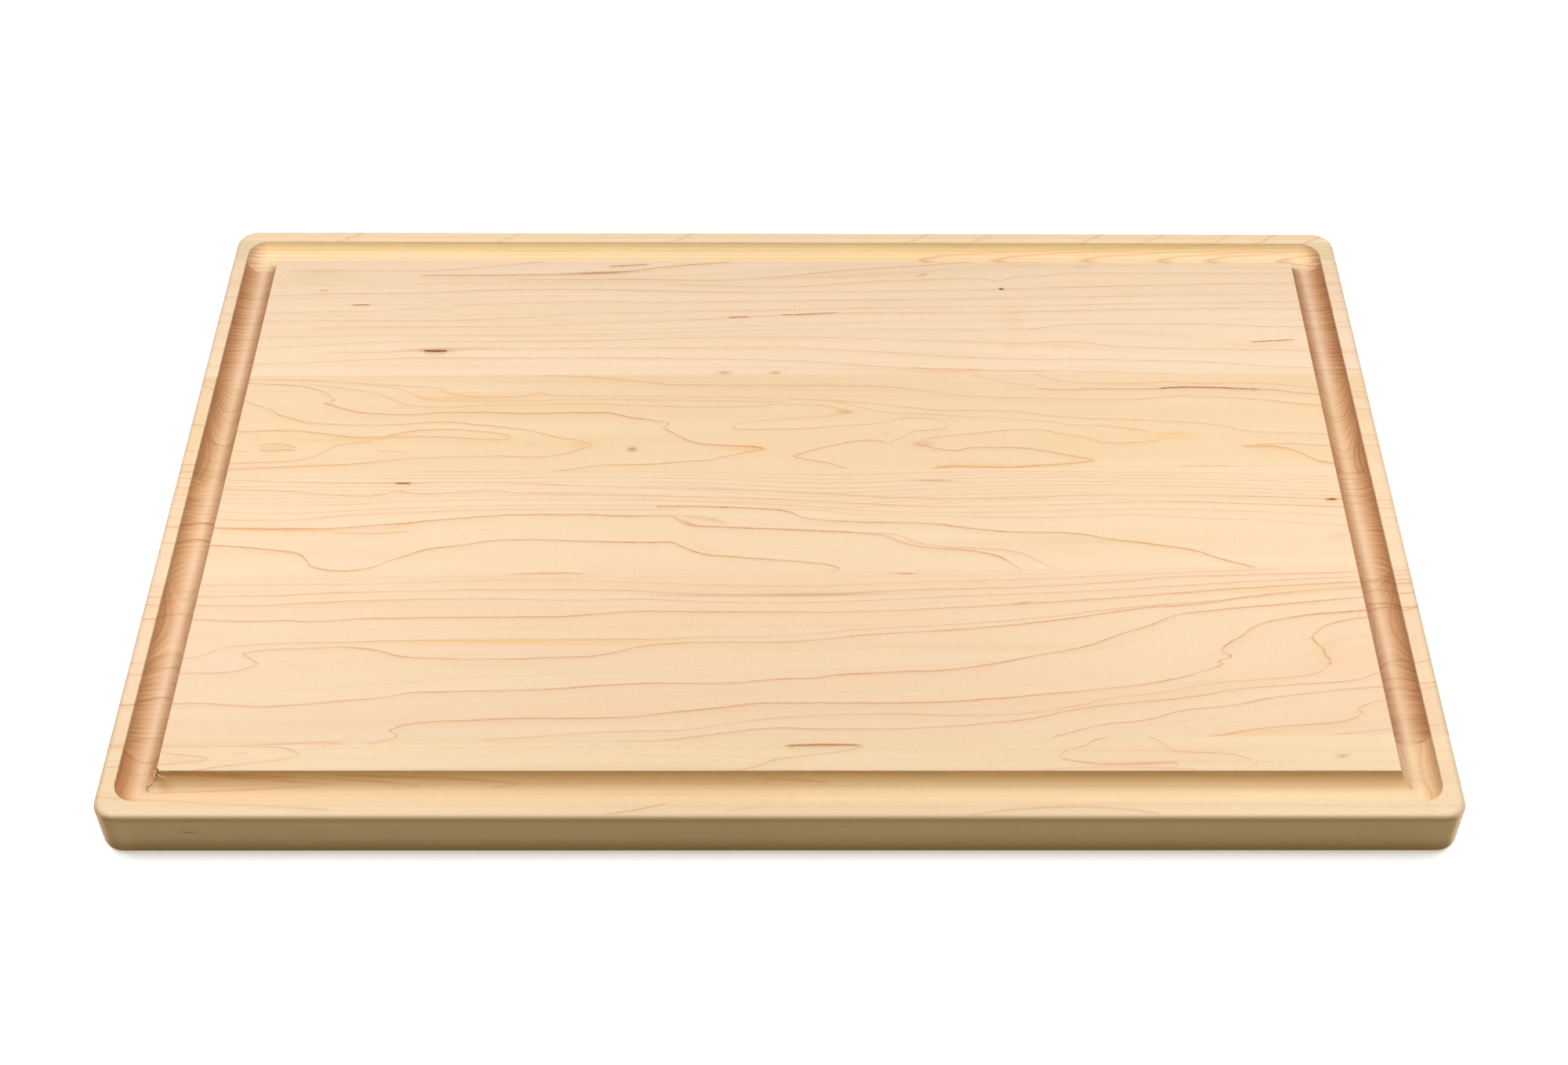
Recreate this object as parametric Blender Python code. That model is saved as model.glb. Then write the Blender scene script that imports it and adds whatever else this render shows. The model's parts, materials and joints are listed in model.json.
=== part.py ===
"""Edge-glued maple cutting board with a juice groove, modelled in metres.

The board lies on its underside: +X runs along the grain, +Y towards the back, +Z up.
The origin is the centre of the underside. Six staves of solid maple stand side by side
and are joined by five films of wood glue. One half-round groove runs round the top.
"""

import math

import bmesh
import bpy

# Overall size: 18 x 12 x 3/4 inch.
LENGTH = 0.4572
WIDTH = 0.3048
THICKNESS = 0.01905

# Outline and edges.
CORNER_RADIUS = 0.0085
TOP_ROUND = 0.0024
BOTTOM_ROUND = 0.0019
CORNER_STEPS = 6
ROUND_STEPS = 4

# Juice groove: a half-inch round-nose cutter, opened a little by sanding.
GROOVE_RADIUS = 0.0065
GROOVE_TURN = 0.0015
RIM_LEFT = 0.0058
RIM_RIGHT = 0.0067
RIM_FRONT = 0.0071
RIM_BACK = 0.0071
GROOVE_STEPS = 12
CUTTER_RISE = 0.004

# Glue joints, front to back: (y where the joint crosses x = 0, its slope in plan).
JOINTS = (
    (-0.1194, 0.0122),
    (-0.0418, 0.0146),
    (0.0110, 0.0114),
    (0.06375, 0.0061),
    (0.1335, 0.0035),
)
JOINT_GAP = 0.0003
GLUE_THICKNESS = 0.0001

# Each board is sawn a little differently, so the staves differ slightly in tone.
STAVE_COLOURS = (
    (0.83, 0.64, 0.41, 1.0),
    (0.84, 0.65, 0.43, 1.0),
    (0.85, 0.67, 0.45, 1.0),
    (0.83, 0.64, 0.42, 1.0),
    (0.85, 0.66, 0.47, 1.0),
    (0.85, 0.64, 0.39, 1.0),
)
GLUE_COLOUR = (0.71, 0.52, 0.30, 1.0)
WOOD_ROUGHNESS = 0.55
GLUE_ROUGHNESS = 0.45

OVERSIZE = 0.02


def clear_scene():
    """Remove every object that the start-up file brings."""
    for item in list(bpy.data.objects):
        bpy.data.objects.remove(item, do_unlink=True)


def principled(name, colour, roughness):
    """A plain non-metallic material."""
    material = bpy.data.materials.new(name)
    material.use_nodes = True
    shader = material.node_tree.nodes["Principled BSDF"]
    shader.inputs["Base Color"].default_value = colour
    shader.inputs["Roughness"].default_value = roughness
    shader.inputs["Metallic"].default_value = 0.0
    material.diffuse_color = colour
    return material


def link(name, mesh, material=None):
    """Put a mesh into the scene as a named object."""
    item = bpy.data.objects.new(name, mesh)
    bpy.context.collection.objects.link(item)
    if material is not None:
        mesh.materials.append(material)
    return item


def finish_mesh(name, bm):
    """Turn a bmesh into a mesh whose faces point out."""
    bmesh.ops.recalc_face_normals(bm, faces=bm.faces[:])
    mesh = bpy.data.meshes.new(name)
    bm.to_mesh(mesh)
    bm.free()
    return mesh


def make_cutter(item):
    """Mark an object as a construction body that isn't part of the board."""
    item.hide_render = True
    item.display_type = "WIRE"


def rounded_loop(bm, inset, z):
    """One closed loop of the board's outline, moved in by inset, at height z."""
    radius = CORNER_RADIUS - inset
    half_x = LENGTH / 2 - CORNER_RADIUS
    half_y = WIDTH / 2 - CORNER_RADIUS
    loop = []
    for corner, (sign_x, sign_y) in enumerate(((1, 1), (-1, 1), (-1, -1), (1, -1))):
        for step in range(CORNER_STEPS + 1):
            angle = (corner + step / CORNER_STEPS) * math.pi / 2
            x = sign_x * half_x + radius * math.cos(angle)
            y = sign_y * half_y + radius * math.sin(angle)
            loop.append(bm.verts.new((x, y, z)))
    return loop


def bridge(bm, lower, upper):
    """Join two closed loops that have the same number of points."""
    count = len(lower)
    for index in range(count):
        after = (index + 1) % count
        bm.faces.new((lower[index], lower[after], upper[after], upper[index]))


def blank_mesh():
    """The whole board before it is grooved and divided: rounded outline, eased edges."""
    profile = []
    for step in range(ROUND_STEPS + 1):
        angle = step / ROUND_STEPS * math.pi / 2
        inset = BOTTOM_ROUND * (1 - math.sin(angle))
        profile.append((inset, BOTTOM_ROUND * (1 - math.cos(angle))))
    for step in range(ROUND_STEPS + 1):
        angle = step / ROUND_STEPS * math.pi / 2
        inset = TOP_ROUND * (1 - math.cos(angle))
        profile.append((inset, THICKNESS - TOP_ROUND * (1 - math.sin(angle))))
    bm = bmesh.new()
    loops = [rounded_loop(bm, inset, z) for inset, z in profile]
    for lower, upper in zip(loops, loops[1:]):
        bridge(bm, lower, upper)
    bm.faces.new(list(reversed(loops[0])))
    bm.faces.new(loops[-1])
    return finish_mesh("blank", bm)


def groove_lines():
    """The four centre lines of the groove: left, right, front and back."""
    left = -LENGTH / 2 + RIM_LEFT + GROOVE_RADIUS
    right = LENGTH / 2 - RIM_RIGHT - GROOVE_RADIUS
    front = -WIDTH / 2 + RIM_FRONT + GROOVE_RADIUS
    back = WIDTH / 2 - RIM_BACK - GROOVE_RADIUS
    return left, right, front, back


def groove_profile():
    """Half circle across the groove as (offset, depth), from its inner to its outer lip.

    Offset 0 is the centre line. One point sits at the centre of the corner turn, where
    the mitred inner side ends and the rounded outer side begins.
    """
    points = []
    for step in range(GROOVE_STEPS + 1):
        angle = step / GROOVE_STEPS * math.pi
        offset = -GROOVE_RADIUS * math.cos(angle)
        points.append((offset, GROOVE_RADIUS * math.sin(angle)))
    turn_depth = math.sqrt(GROOVE_RADIUS ** 2 - GROOVE_TURN ** 2)
    inner = [point for point in points if point[0] < -GROOVE_TURN - 1e-6]
    outer = [point for point in points if point[0] > -GROOVE_TURN + 1e-6]
    return inner, (-GROOVE_TURN, turn_depth), outer


def groove_mesh():
    """The body that the cutter sweeps: a half-round ring with sharp inner mitres."""
    left, right, front, back = groove_lines()
    inner, pivot, outer = groove_profile()
    inner = [(inner[0][0], -CUTTER_RISE)] + inner
    outer = outer + [(outer[-1][0], -CUTTER_RISE)]
    corners = ((right, back, 1, 1), (left, back, -1, 1), (left, front, -1, -1), (right, front, 1, -1))
    bm = bmesh.new()
    built = []
    for number, (line_x, line_y, sign_x, sign_y) in enumerate(corners):
        centre_x = line_x - sign_x * GROOVE_TURN
        centre_y = line_y - sign_y * GROOVE_TURN
        mitre = []
        for offset, depth in inner:
            x = line_x + sign_x * offset
            y = line_y + sign_y * offset
            mitre.append(bm.verts.new((x, y, THICKNESS - depth)))
        centre = bm.verts.new((centre_x, centre_y, THICKNESS - pivot[1]))
        rings = []
        for step in range(CORNER_STEPS + 1):
            angle = (number + step / CORNER_STEPS) * math.pi / 2
            ring = []
            for offset, depth in outer:
                reach = GROOVE_TURN + offset
                x = centre_x + reach * math.cos(angle)
                y = centre_y + reach * math.sin(angle)
                ring.append(bm.verts.new((x, y, THICKNESS - depth)))
            rings.append(ring)
        built.append((mitre, centre, rings))
    for mitre, centre, rings in built:
        for ring, after in zip(rings, rings[1:]):
            bm.faces.new((centre, ring[0], after[0]))
            for low in range(len(ring) - 1):
                bm.faces.new((ring[low], ring[low + 1], after[low + 1], after[low]))
            bm.faces.new((mitre[0], after[-1], ring[-1]))
    for number in range(4):
        mitre, centre, rings = built[number]
        next_mitre, next_centre, next_rings = built[(number + 1) % 4]
        here = mitre + [centre] + rings[-1]
        there = next_mitre + [next_centre] + next_rings[0]
        for low in range(len(here) - 1):
            bm.faces.new((here[low], here[low + 1], there[low + 1], there[low]))
        bm.faces.new((here[-1], here[0], there[0], there[-1]))
    return finish_mesh("groove_cutter", bm)


def slab_mesh(name, front_joint, back_joint, front_offset, back_offset):
    """A tall prism between two joint planes, each moved towards the back by an offset."""
    reach = LENGTH / 2 + OVERSIZE
    bm = bmesh.new()
    bottom = []
    top = []
    sides = ((front_joint, front_offset, -reach), (front_joint, front_offset, reach),
             (back_joint, back_offset, reach), (back_joint, back_offset, -reach))
    for (middle, slope), offset, x in sides:
        y = middle + slope * x + offset
        bottom.append(bm.verts.new((x, y, -OVERSIZE)))
        top.append(bm.verts.new((x, y, THICKNESS + OVERSIZE)))
    bridge(bm, bottom, top)
    bm.faces.new(list(reversed(bottom)))
    bm.faces.new(top)
    return finish_mesh(name, bm)


def shape(item, blank, groove):
    """Trim a slab to the board's outline and cut the groove in it."""
    trim = item.modifiers.new("outline", "BOOLEAN")
    trim.operation = "INTERSECT"
    trim.object = blank
    cut = item.modifiers.new("groove", "BOOLEAN")
    cut.operation = "DIFFERENCE"
    cut.object = groove
    item.data.shade_smooth()
    item.data.set_sharp_from_angle(angle=math.radians(32))


def build_board():
    """All staves and glue films."""
    blank = link("blank", blank_mesh())
    groove = link("groove_cutter", groove_mesh())
    make_cutter(blank)
    make_cutter(groove)
    outside = WIDTH / 2 + OVERSIZE
    edges = ((-outside, 0.0),) + JOINTS + ((outside, 0.0),)
    for number, (front_joint, back_joint) in enumerate(zip(edges, edges[1:]), start=1):
        name = "stave_" + str(number)
        wood = principled("maple_" + str(number), STAVE_COLOURS[number - 1], WOOD_ROUGHNESS)
        mesh = slab_mesh(name, front_joint, back_joint, JOINT_GAP / 2, -JOINT_GAP / 2)
        shape(link(name, mesh, wood), blank, groove)
    glue = principled("wood_glue", GLUE_COLOUR, GLUE_ROUGHNESS)
    for number, joint in enumerate(JOINTS, start=1):
        name = "glue_line_" + str(number)
        mesh = slab_mesh(name, joint, joint, -GLUE_THICKNESS / 2, GLUE_THICKNESS / 2)
        shape(link(name, mesh, glue), blank, groove)


clear_scene()
build_board()
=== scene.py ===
"""Looks for an edge-glued maple cutting board with a juice groove.

Every stave and glue film of the CAD model is replaced by a finer mesh of the same shape,
and the maple is a solid material: the rings that show on the top also show in the groove,
on the edges and on the ends.
"""

import json
import math
import random

import bmesh
import bpy
from mathutils import Matrix, Vector


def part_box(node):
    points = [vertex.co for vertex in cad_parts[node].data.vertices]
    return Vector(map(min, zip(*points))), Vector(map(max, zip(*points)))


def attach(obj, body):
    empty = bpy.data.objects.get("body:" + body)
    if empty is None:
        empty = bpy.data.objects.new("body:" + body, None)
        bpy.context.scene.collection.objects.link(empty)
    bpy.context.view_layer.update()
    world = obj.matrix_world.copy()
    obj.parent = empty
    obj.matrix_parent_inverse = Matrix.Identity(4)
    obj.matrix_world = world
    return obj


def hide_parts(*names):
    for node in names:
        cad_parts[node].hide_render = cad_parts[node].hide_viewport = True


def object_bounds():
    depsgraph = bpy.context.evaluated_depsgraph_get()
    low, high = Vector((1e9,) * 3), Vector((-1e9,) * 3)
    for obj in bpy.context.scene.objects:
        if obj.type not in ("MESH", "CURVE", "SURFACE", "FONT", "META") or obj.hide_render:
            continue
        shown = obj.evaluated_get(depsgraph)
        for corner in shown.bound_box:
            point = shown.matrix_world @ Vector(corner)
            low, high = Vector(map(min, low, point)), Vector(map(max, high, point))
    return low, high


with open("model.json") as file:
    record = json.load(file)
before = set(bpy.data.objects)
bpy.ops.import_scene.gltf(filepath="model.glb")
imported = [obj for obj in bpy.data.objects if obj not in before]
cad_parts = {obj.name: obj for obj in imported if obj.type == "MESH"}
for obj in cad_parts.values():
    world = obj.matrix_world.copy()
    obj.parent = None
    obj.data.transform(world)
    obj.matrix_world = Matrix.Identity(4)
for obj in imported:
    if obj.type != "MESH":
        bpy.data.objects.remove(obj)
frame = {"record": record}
CAD_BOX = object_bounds()

MM = 0.001

# ---------------------------------------------------------------- sizes, from the frame
LOW, HIGH = CAD_BOX
LENGTH = HIGH.x - LOW.x
WIDTH = HIGH.y - LOW.y
TOP = HIGH.z
CORNER_RADIUS = 8.5 * MM
TOP_ROUND = 2.4 * MM
BOTTOM_ROUND = 1.9 * MM
CORNER_STEPS = 14
ROUND_STEPS = 7

# The groove: a half-inch round-nose cut whose lips are eased by sanding.
GROOVE_RADIUS = 6.35 * MM
GROOVE_TURN = 1.5 * MM
LIP_RADIUS = 0.35 * MM
GROOVE_STEPS = 36
LIP_STEPS = 5
LIP_ARC = math.radians(75)
CUTTER_RISE = 4 * MM

STAVES = 6
FILM = 0.1 * MM
OVERSIZE = 20 * MM
SMOOTH_ANGLE = math.radians(28)


def groove_lines():
    """Centre lines of the groove's four runs, from the openings that the record states."""
    boxes = {item["name"]: item["box_m"] for item in frame["record"]["physics"]["openings"]}

    def middle(name, axis):
        low, high = boxes[name]
        return (low[axis] + high[axis]) / 2

    return (middle("groove_left", 0), middle("groove_right", 0),
            middle("groove_front", 1), middle("groove_back", 1))


LEFT_LINE, RIGHT_LINE, FRONT_LINE, BACK_LINE = groove_lines()


def joint_lines():
    """Where each glue joint crosses x = 0 and its slope in plan, front to back."""
    lines = []
    for number in range(1, STAVES):
        low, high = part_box("glue_line_" + str(number))
        slope = (high.y - low.y - FILM) / LENGTH
        lines.append(((low.y + high.y) / 2, slope))
    return lines


JOINTS = joint_lines()

# The chipped corner of the island inside the groove, with its loose fibres.
ISLAND_X = LEFT_LINE + GROOVE_RADIUS
ISLAND_Y = FRONT_LINE + GROOVE_RADIUS
CHIP_PLACE = Vector((ISLAND_X - 0.25 * MM, ISLAND_Y - 0.35 * MM, TOP))
CHIP_SEED = 4
CHIP_STRETCH = (1.3, 1.7, 2.2)
CHIP_ROUGHNESS = (0.85, 1.12)
SLIVER_SEED = 11
SLIVERS = 13
SLIVER_STEPS = 7
SLIVER_ARC = 1.2
SLIVER_ROOT = 0.15 * MM
SLIVER_CEILING = TOP - 0.15 * MM
SLIVER_LENGTHS = (1.4, 2.8)
SLIVER_BENDS = (1, 3)
SLIVER_RADII = (0.1, 0.19)
# The longest sliver leans out over the groove from the corner itself.
LONG_SLIVER_PLACE = Vector((ISLAND_X + 0.1 * MM, ISLAND_Y + 0.1 * MM, TOP - 1.6 * MM))
LONG_SLIVER_HEADING = Vector((0.75, -1, 0.25))
LONG_SLIVER_AXIS = Vector((0.1, 0.1, 1))
LONG_SLIVER_LENGTH = 5 * MM
LONG_SLIVER_BEND = 1.0
LONG_SLIVER_RADIUS = 0.17 * MM
TUBE_SIDES = 6
TUBE_FLATNESS = 1.5
TUBE_START = 1.15
TUBE_TAPER = 0.85
NEARLY_UP = Vector((0.3, 0.2, 1))
CRUMBS = 7
CRUMB_SIZES = (0.12, 0.26)
CRUMB_STRETCH = (-19, 1)
CRUMB_ARC = (0.2, 0.75)
CRUMB_SINK = 0.6


# ---------------------------------------------------------------- meshes
def new_object(name, mesh):
    """Put a mesh into the scene."""
    item = bpy.data.objects.new(name, mesh)
    bpy.context.scene.collection.objects.link(item)
    return item


def to_mesh(name, bm):
    """Turn a bmesh into a mesh whose faces point out."""
    bmesh.ops.recalc_face_normals(bm, faces=bm.faces[:])
    mesh = bpy.data.meshes.new(name)
    bm.to_mesh(mesh)
    bm.free()
    return mesh


def rounded_loop(bm, inset, z):
    """One closed loop of the board's outline, moved in by inset, at height z."""
    radius = CORNER_RADIUS - inset
    half_x = LENGTH / 2 - CORNER_RADIUS
    half_y = WIDTH / 2 - CORNER_RADIUS
    loop = []
    for corner, (sign_x, sign_y) in enumerate(((1, 1), (-1, 1), (-1, -1), (1, -1))):
        for step in range(CORNER_STEPS + 1):
            angle = (corner + step / CORNER_STEPS) * math.pi / 2
            x = sign_x * half_x + radius * math.cos(angle)
            y = sign_y * half_y + radius * math.sin(angle)
            loop.append(bm.verts.new((x, y, z)))
    return loop


def bridge(bm, lower, upper):
    """Join two closed loops that have the same number of points."""
    count = len(lower)
    for index in range(count):
        after = (index + 1) % count
        bm.faces.new((lower[index], lower[after], upper[after], upper[index]))


def blank_mesh():
    """The board before grooving: rounded outline and rounded edges."""
    profile = []
    for step in range(ROUND_STEPS + 1):
        angle = step / ROUND_STEPS * math.pi / 2
        inset = BOTTOM_ROUND * (1 - math.sin(angle))
        profile.append((inset, LOW.z + BOTTOM_ROUND * (1 - math.cos(angle))))
    for step in range(ROUND_STEPS + 1):
        angle = step / ROUND_STEPS * math.pi / 2
        inset = TOP_ROUND * (1 - math.cos(angle))
        profile.append((inset, TOP - TOP_ROUND * (1 - math.sin(angle))))
    bm = bmesh.new()
    loops = [rounded_loop(bm, inset, z) for inset, z in profile]
    for lower, upper in zip(loops, loops[1:]):
        bridge(bm, lower, upper)
    bm.faces.new(list(reversed(loops[0])))
    bm.faces.new(loops[-1])
    return to_mesh("blank", bm)


def groove_profile():
    """The groove's section as (offset, depth): inner lip, half circle, outer lip."""
    outer = []
    for step in range(GROOVE_STEPS // 2 + 1):
        angle = step / (GROOVE_STEPS // 2) * math.pi / 2
        depth = GROOVE_RADIUS * math.cos(angle)
        if depth > LIP_RADIUS * 1.5:
            outer.append((GROOVE_RADIUS * math.sin(angle), depth))
    for step in range(LIP_STEPS + 1):
        angle = step / LIP_STEPS * LIP_ARC
        offset = GROOVE_RADIUS + LIP_RADIUS * (1 - math.cos(angle))
        outer.append((offset, LIP_RADIUS * (1 - math.sin(angle))))
    outer.append((outer[-1][0], -CUTTER_RISE))
    mirrored = [(-offset, depth) for offset, depth in reversed(outer[1:])]
    whole = mirrored + outer
    turn_depth = math.sqrt(GROOVE_RADIUS ** 2 - GROOVE_TURN ** 2)
    inner = [point for point in whole if point[0] < -GROOVE_TURN - 1e-6]
    rest = [point for point in whole if point[0] > -GROOVE_TURN + 1e-6]
    return inner, (-GROOVE_TURN, turn_depth), rest


def groove_mesh():
    """The body that the cutter sweeps: a half-round ring with sharp inner mitres."""
    inner, pivot, outer = groove_profile()
    corners = ((RIGHT_LINE, BACK_LINE, 1, 1), (LEFT_LINE, BACK_LINE, -1, 1),
               (LEFT_LINE, FRONT_LINE, -1, -1), (RIGHT_LINE, FRONT_LINE, 1, -1))
    bm = bmesh.new()
    built = []
    for number, (line_x, line_y, sign_x, sign_y) in enumerate(corners):
        centre_x = line_x - sign_x * GROOVE_TURN
        centre_y = line_y - sign_y * GROOVE_TURN
        mitre = []
        for offset, depth in inner:
            place = (line_x + sign_x * offset, line_y + sign_y * offset, TOP - depth)
            mitre.append(bm.verts.new(place))
        centre = bm.verts.new((centre_x, centre_y, TOP - pivot[1]))
        rings = []
        for step in range(CORNER_STEPS + 1):
            angle = (number + step / CORNER_STEPS) * math.pi / 2
            ring = []
            for offset, depth in outer:
                reach = GROOVE_TURN + offset
                x = centre_x + reach * math.cos(angle)
                y = centre_y + reach * math.sin(angle)
                ring.append(bm.verts.new((x, y, TOP - depth)))
            rings.append(ring)
        built.append((mitre, centre, rings))
    for mitre, centre, rings in built:
        for ring, after in zip(rings, rings[1:]):
            bm.faces.new((centre, ring[0], after[0]))
            for low in range(len(ring) - 1):
                bm.faces.new((ring[low], ring[low + 1], after[low + 1], after[low]))
            bm.faces.new((mitre[0], after[-1], ring[-1]))
    for number in range(4):
        mitre, centre, rings = built[number]
        next_mitre, next_centre, next_rings = built[(number + 1) % 4]
        here = mitre + [centre] + rings[-1]
        there = next_mitre + [next_centre] + next_rings[0]
        for low in range(len(here) - 1):
            bm.faces.new((here[low], here[low + 1], there[low + 1], there[low]))
        bm.faces.new((here[-1], here[0], there[0], there[-1]))
    bmesh.ops.triangulate(bm, faces=bm.faces[:])
    return to_mesh("groove_cutter", bm)


def slab_mesh(name, front_joint, back_joint, front_offset, back_offset):
    """A tall prism between two joint planes, each moved towards the back by an offset."""
    reach = LENGTH / 2 + OVERSIZE
    bm = bmesh.new()
    bottom = []
    top = []
    sides = ((front_joint, front_offset, -reach), (front_joint, front_offset, reach),
             (back_joint, back_offset, reach), (back_joint, back_offset, -reach))
    for (middle, slope), offset, x in sides:
        y = middle + slope * x + offset
        bottom.append(bm.verts.new((x, y, LOW.z - OVERSIZE)))
        top.append(bm.verts.new((x, y, TOP + OVERSIZE)))
    bridge(bm, bottom, top)
    bm.faces.new(list(reversed(bottom)))
    bm.faces.new(top)
    return to_mesh(name, bm)


def baked_mesh(item):
    """The mesh that an object has after its modifiers."""
    graph = bpy.context.evaluated_depsgraph_get()
    return bpy.data.meshes.new_from_object(item.evaluated_get(graph), depsgraph=graph)


def cut_board_piece(name, slab, tools):
    """Trim a slab to the board's outline, groove it and smooth what is round."""
    item = new_object(name, slab)
    for operation, tool in tools:
        cut = item.modifiers.new("cut", "BOOLEAN")
        cut.operation = operation
        cut.object = tool
    mesh = baked_mesh(item)
    item.modifiers.clear()
    item.data = mesh
    mesh.shade_smooth()
    mesh.set_sharp_from_angle(angle=SMOOTH_ANGLE)
    even = item.modifiers.new("flat faces stay flat", "WEIGHTED_NORMAL")
    even.keep_sharp = True
    even.weight = 100
    return item


def chip_mesh():
    """A rough lump that bites the front-left corner off the island inside the groove."""
    chance = random.Random(CHIP_SEED)
    bm = bmesh.new()
    bmesh.ops.create_icosphere(bm, subdivisions=2, radius=1.0)
    for vertex in bm.verts:
        size = chance.uniform(*CHIP_ROUGHNESS)
        stretched = [part * stretch for part, stretch in zip(vertex.co, CHIP_STRETCH)]
        vertex.co = Vector(stretched) * size * MM
        vertex.co += CHIP_PLACE
    return to_mesh("chip", bm)


def add_tube(bm, points, radius):
    """A closed, tapering, slightly flattened tube through the given points."""
    rings = []
    last = len(points) - 1
    for index, point in enumerate(points):
        heading = (points[min(index + 1, last)] - points[max(index - 1, 0)]).normalized()
        side = heading.cross(NEARLY_UP).normalized()
        lift = side.cross(heading)
        width = radius * (TUBE_START - TUBE_TAPER * index / last)
        ring = []
        for corner in range(TUBE_SIDES):
            angle = corner / TUBE_SIDES * math.tau
            across = side * math.cos(angle) * width * TUBE_FLATNESS
            ring.append(bm.verts.new(point + across + lift * math.sin(angle) * width))
        rings.append(ring)
    for lower, upper in zip(rings, rings[1:]):
        bridge(bm, lower, upper)
    bm.faces.new(list(reversed(rings[0])))
    bm.faces.new(rings[-1])


def curled_path(start, heading, length, bend, axis):
    """Points along a sliver that leaves a place in a direction and bends as it goes."""
    points = [start]
    direction = heading.normalized()
    turn = Matrix.Rotation(bend / SLIVER_STEPS, 3, axis)
    for step in range(SLIVER_STEPS):
        points.append(points[-1] + direction * (length / SLIVER_STEPS))
        direction = turn @ direction
    return [Vector((point.x, point.y, min(point.z, SLIVER_CEILING))) for point in points]


def add_torn_fibres(item):
    """Slivers that the cutter tore loose along the chipped corner, and a few crumbs."""
    chance = random.Random(SLIVER_SEED)
    bm = bmesh.new()
    bm.from_mesh(item.data)
    for number in range(SLIVERS):
        angle = (number + chance.random()) / SLIVERS * SLIVER_ARC
        offset = GROOVE_RADIUS * math.cos(angle)
        start = Vector((LEFT_LINE + offset + SLIVER_ROOT, FRONT_LINE + offset + SLIVER_ROOT,
                        TOP - GROOVE_RADIUS * math.sin(angle) - 2 * SLIVER_ROOT))
        heading = Vector((chance.uniform(-1, 0.1), chance.uniform(-1, -0.3), chance.uniform(0, 0.9)))
        axis = Vector([chance.uniform(-1, 1) for part in range(3)])
        length = chance.uniform(*SLIVER_LENGTHS) * MM
        path = curled_path(start, heading, length, chance.uniform(*SLIVER_BENDS), axis)
        add_tube(bm, path, chance.uniform(*SLIVER_RADII) * MM)
    path = curled_path(LONG_SLIVER_PLACE, LONG_SLIVER_HEADING, LONG_SLIVER_LENGTH,
                       LONG_SLIVER_BEND, LONG_SLIVER_AXIS)
    add_tube(bm, path, LONG_SLIVER_RADIUS)
    for number in range(CRUMBS):
        angle = chance.uniform(*CRUMB_ARC)
        size = chance.uniform(*CRUMB_SIZES) * MM
        reach = GROOVE_RADIUS - size * CRUMB_SINK
        place = Vector((chance.uniform(*CRUMB_STRETCH) * MM, FRONT_LINE + reach * math.cos(angle),
                        TOP - reach * math.sin(angle)))
        bmesh.ops.create_icosphere(bm, subdivisions=1, radius=size,
                                   matrix=Matrix.Translation(place))
    bm.to_mesh(item.data)
    bm.free()


def make_pieces():
    """All staves and glue films as fine meshes."""
    chip = new_object("chip", chip_mesh())
    blank = new_object("blank", blank_mesh())
    groove = new_object("groove_cutter", groove_mesh())
    tools = (("INTERSECT", blank), ("DIFFERENCE", groove))
    outside = WIDTH / 2 + OVERSIZE
    edges = [(-outside, 0.0)] + JOINTS + [(outside, 0.0)]
    staves = []
    films = []
    for number, (front, back) in enumerate(zip(edges, edges[1:]), start=1):
        slab = slab_mesh("slab", front, back, FILM / 2, -FILM / 2)
        bites = tools + (("DIFFERENCE", chip),) if number == 1 else tools
        staves.append(cut_board_piece("maple_stave_" + str(number), slab, bites))
    for number, joint in enumerate(JOINTS, start=1):
        slab = slab_mesh("slab", joint, joint, -FILM / 2, FILM / 2)
        films.append(cut_board_piece("glue_film_" + str(number), slab, tools))
    add_torn_fibres(staves[0])
    for tool in (blank, groove, chip):
        bpy.data.objects.remove(tool, do_unlink=True)
    return staves, films


# ---------------------------------------------------------------- node arithmetic
# Half the stretch along the board that drawn lines are set in, in mm.
SPAN = 232.0
# Section of a drawn ring line: (distance in mm, darkness).
STROKE_SHAPE = ((-4, 0), (-2.6, 0.03), (-1.2, 0.12), (-0.42, 0.25), (-0.15, 1), (0.13, 1),
                (0.38, 0.12), (0.9, 0), (4, 0))
STROKE_REACH = 4.0
# Length in mm over which a drawn line fades at its ends, unless it runs off the board.
STROKE_FADE = 2.5
RISER_FADE = 0.5
FADE_OUTSIDE = 0.4
FADE_INSIDE = 0.6
OFF_BOARD = 0.04
# Section of a faint ring: (distance in mm, share of its strength).
LINE_SHAPE = ((-0.55, 0.0), (-0.12, 1.0), (0.12, 0.8), (0.75, 0.0))
RINGS_PER_RAMP = 8
RAMP_MARGIN = 3
# A reach in mm that takes a patch all the way through the board.
THROUGH = 1e6


def set_inputs(node, values):
    """Set inputs of a node that nothing is linked to."""
    for name, value in values.items():
        node.inputs[name].default_value = value


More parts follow.
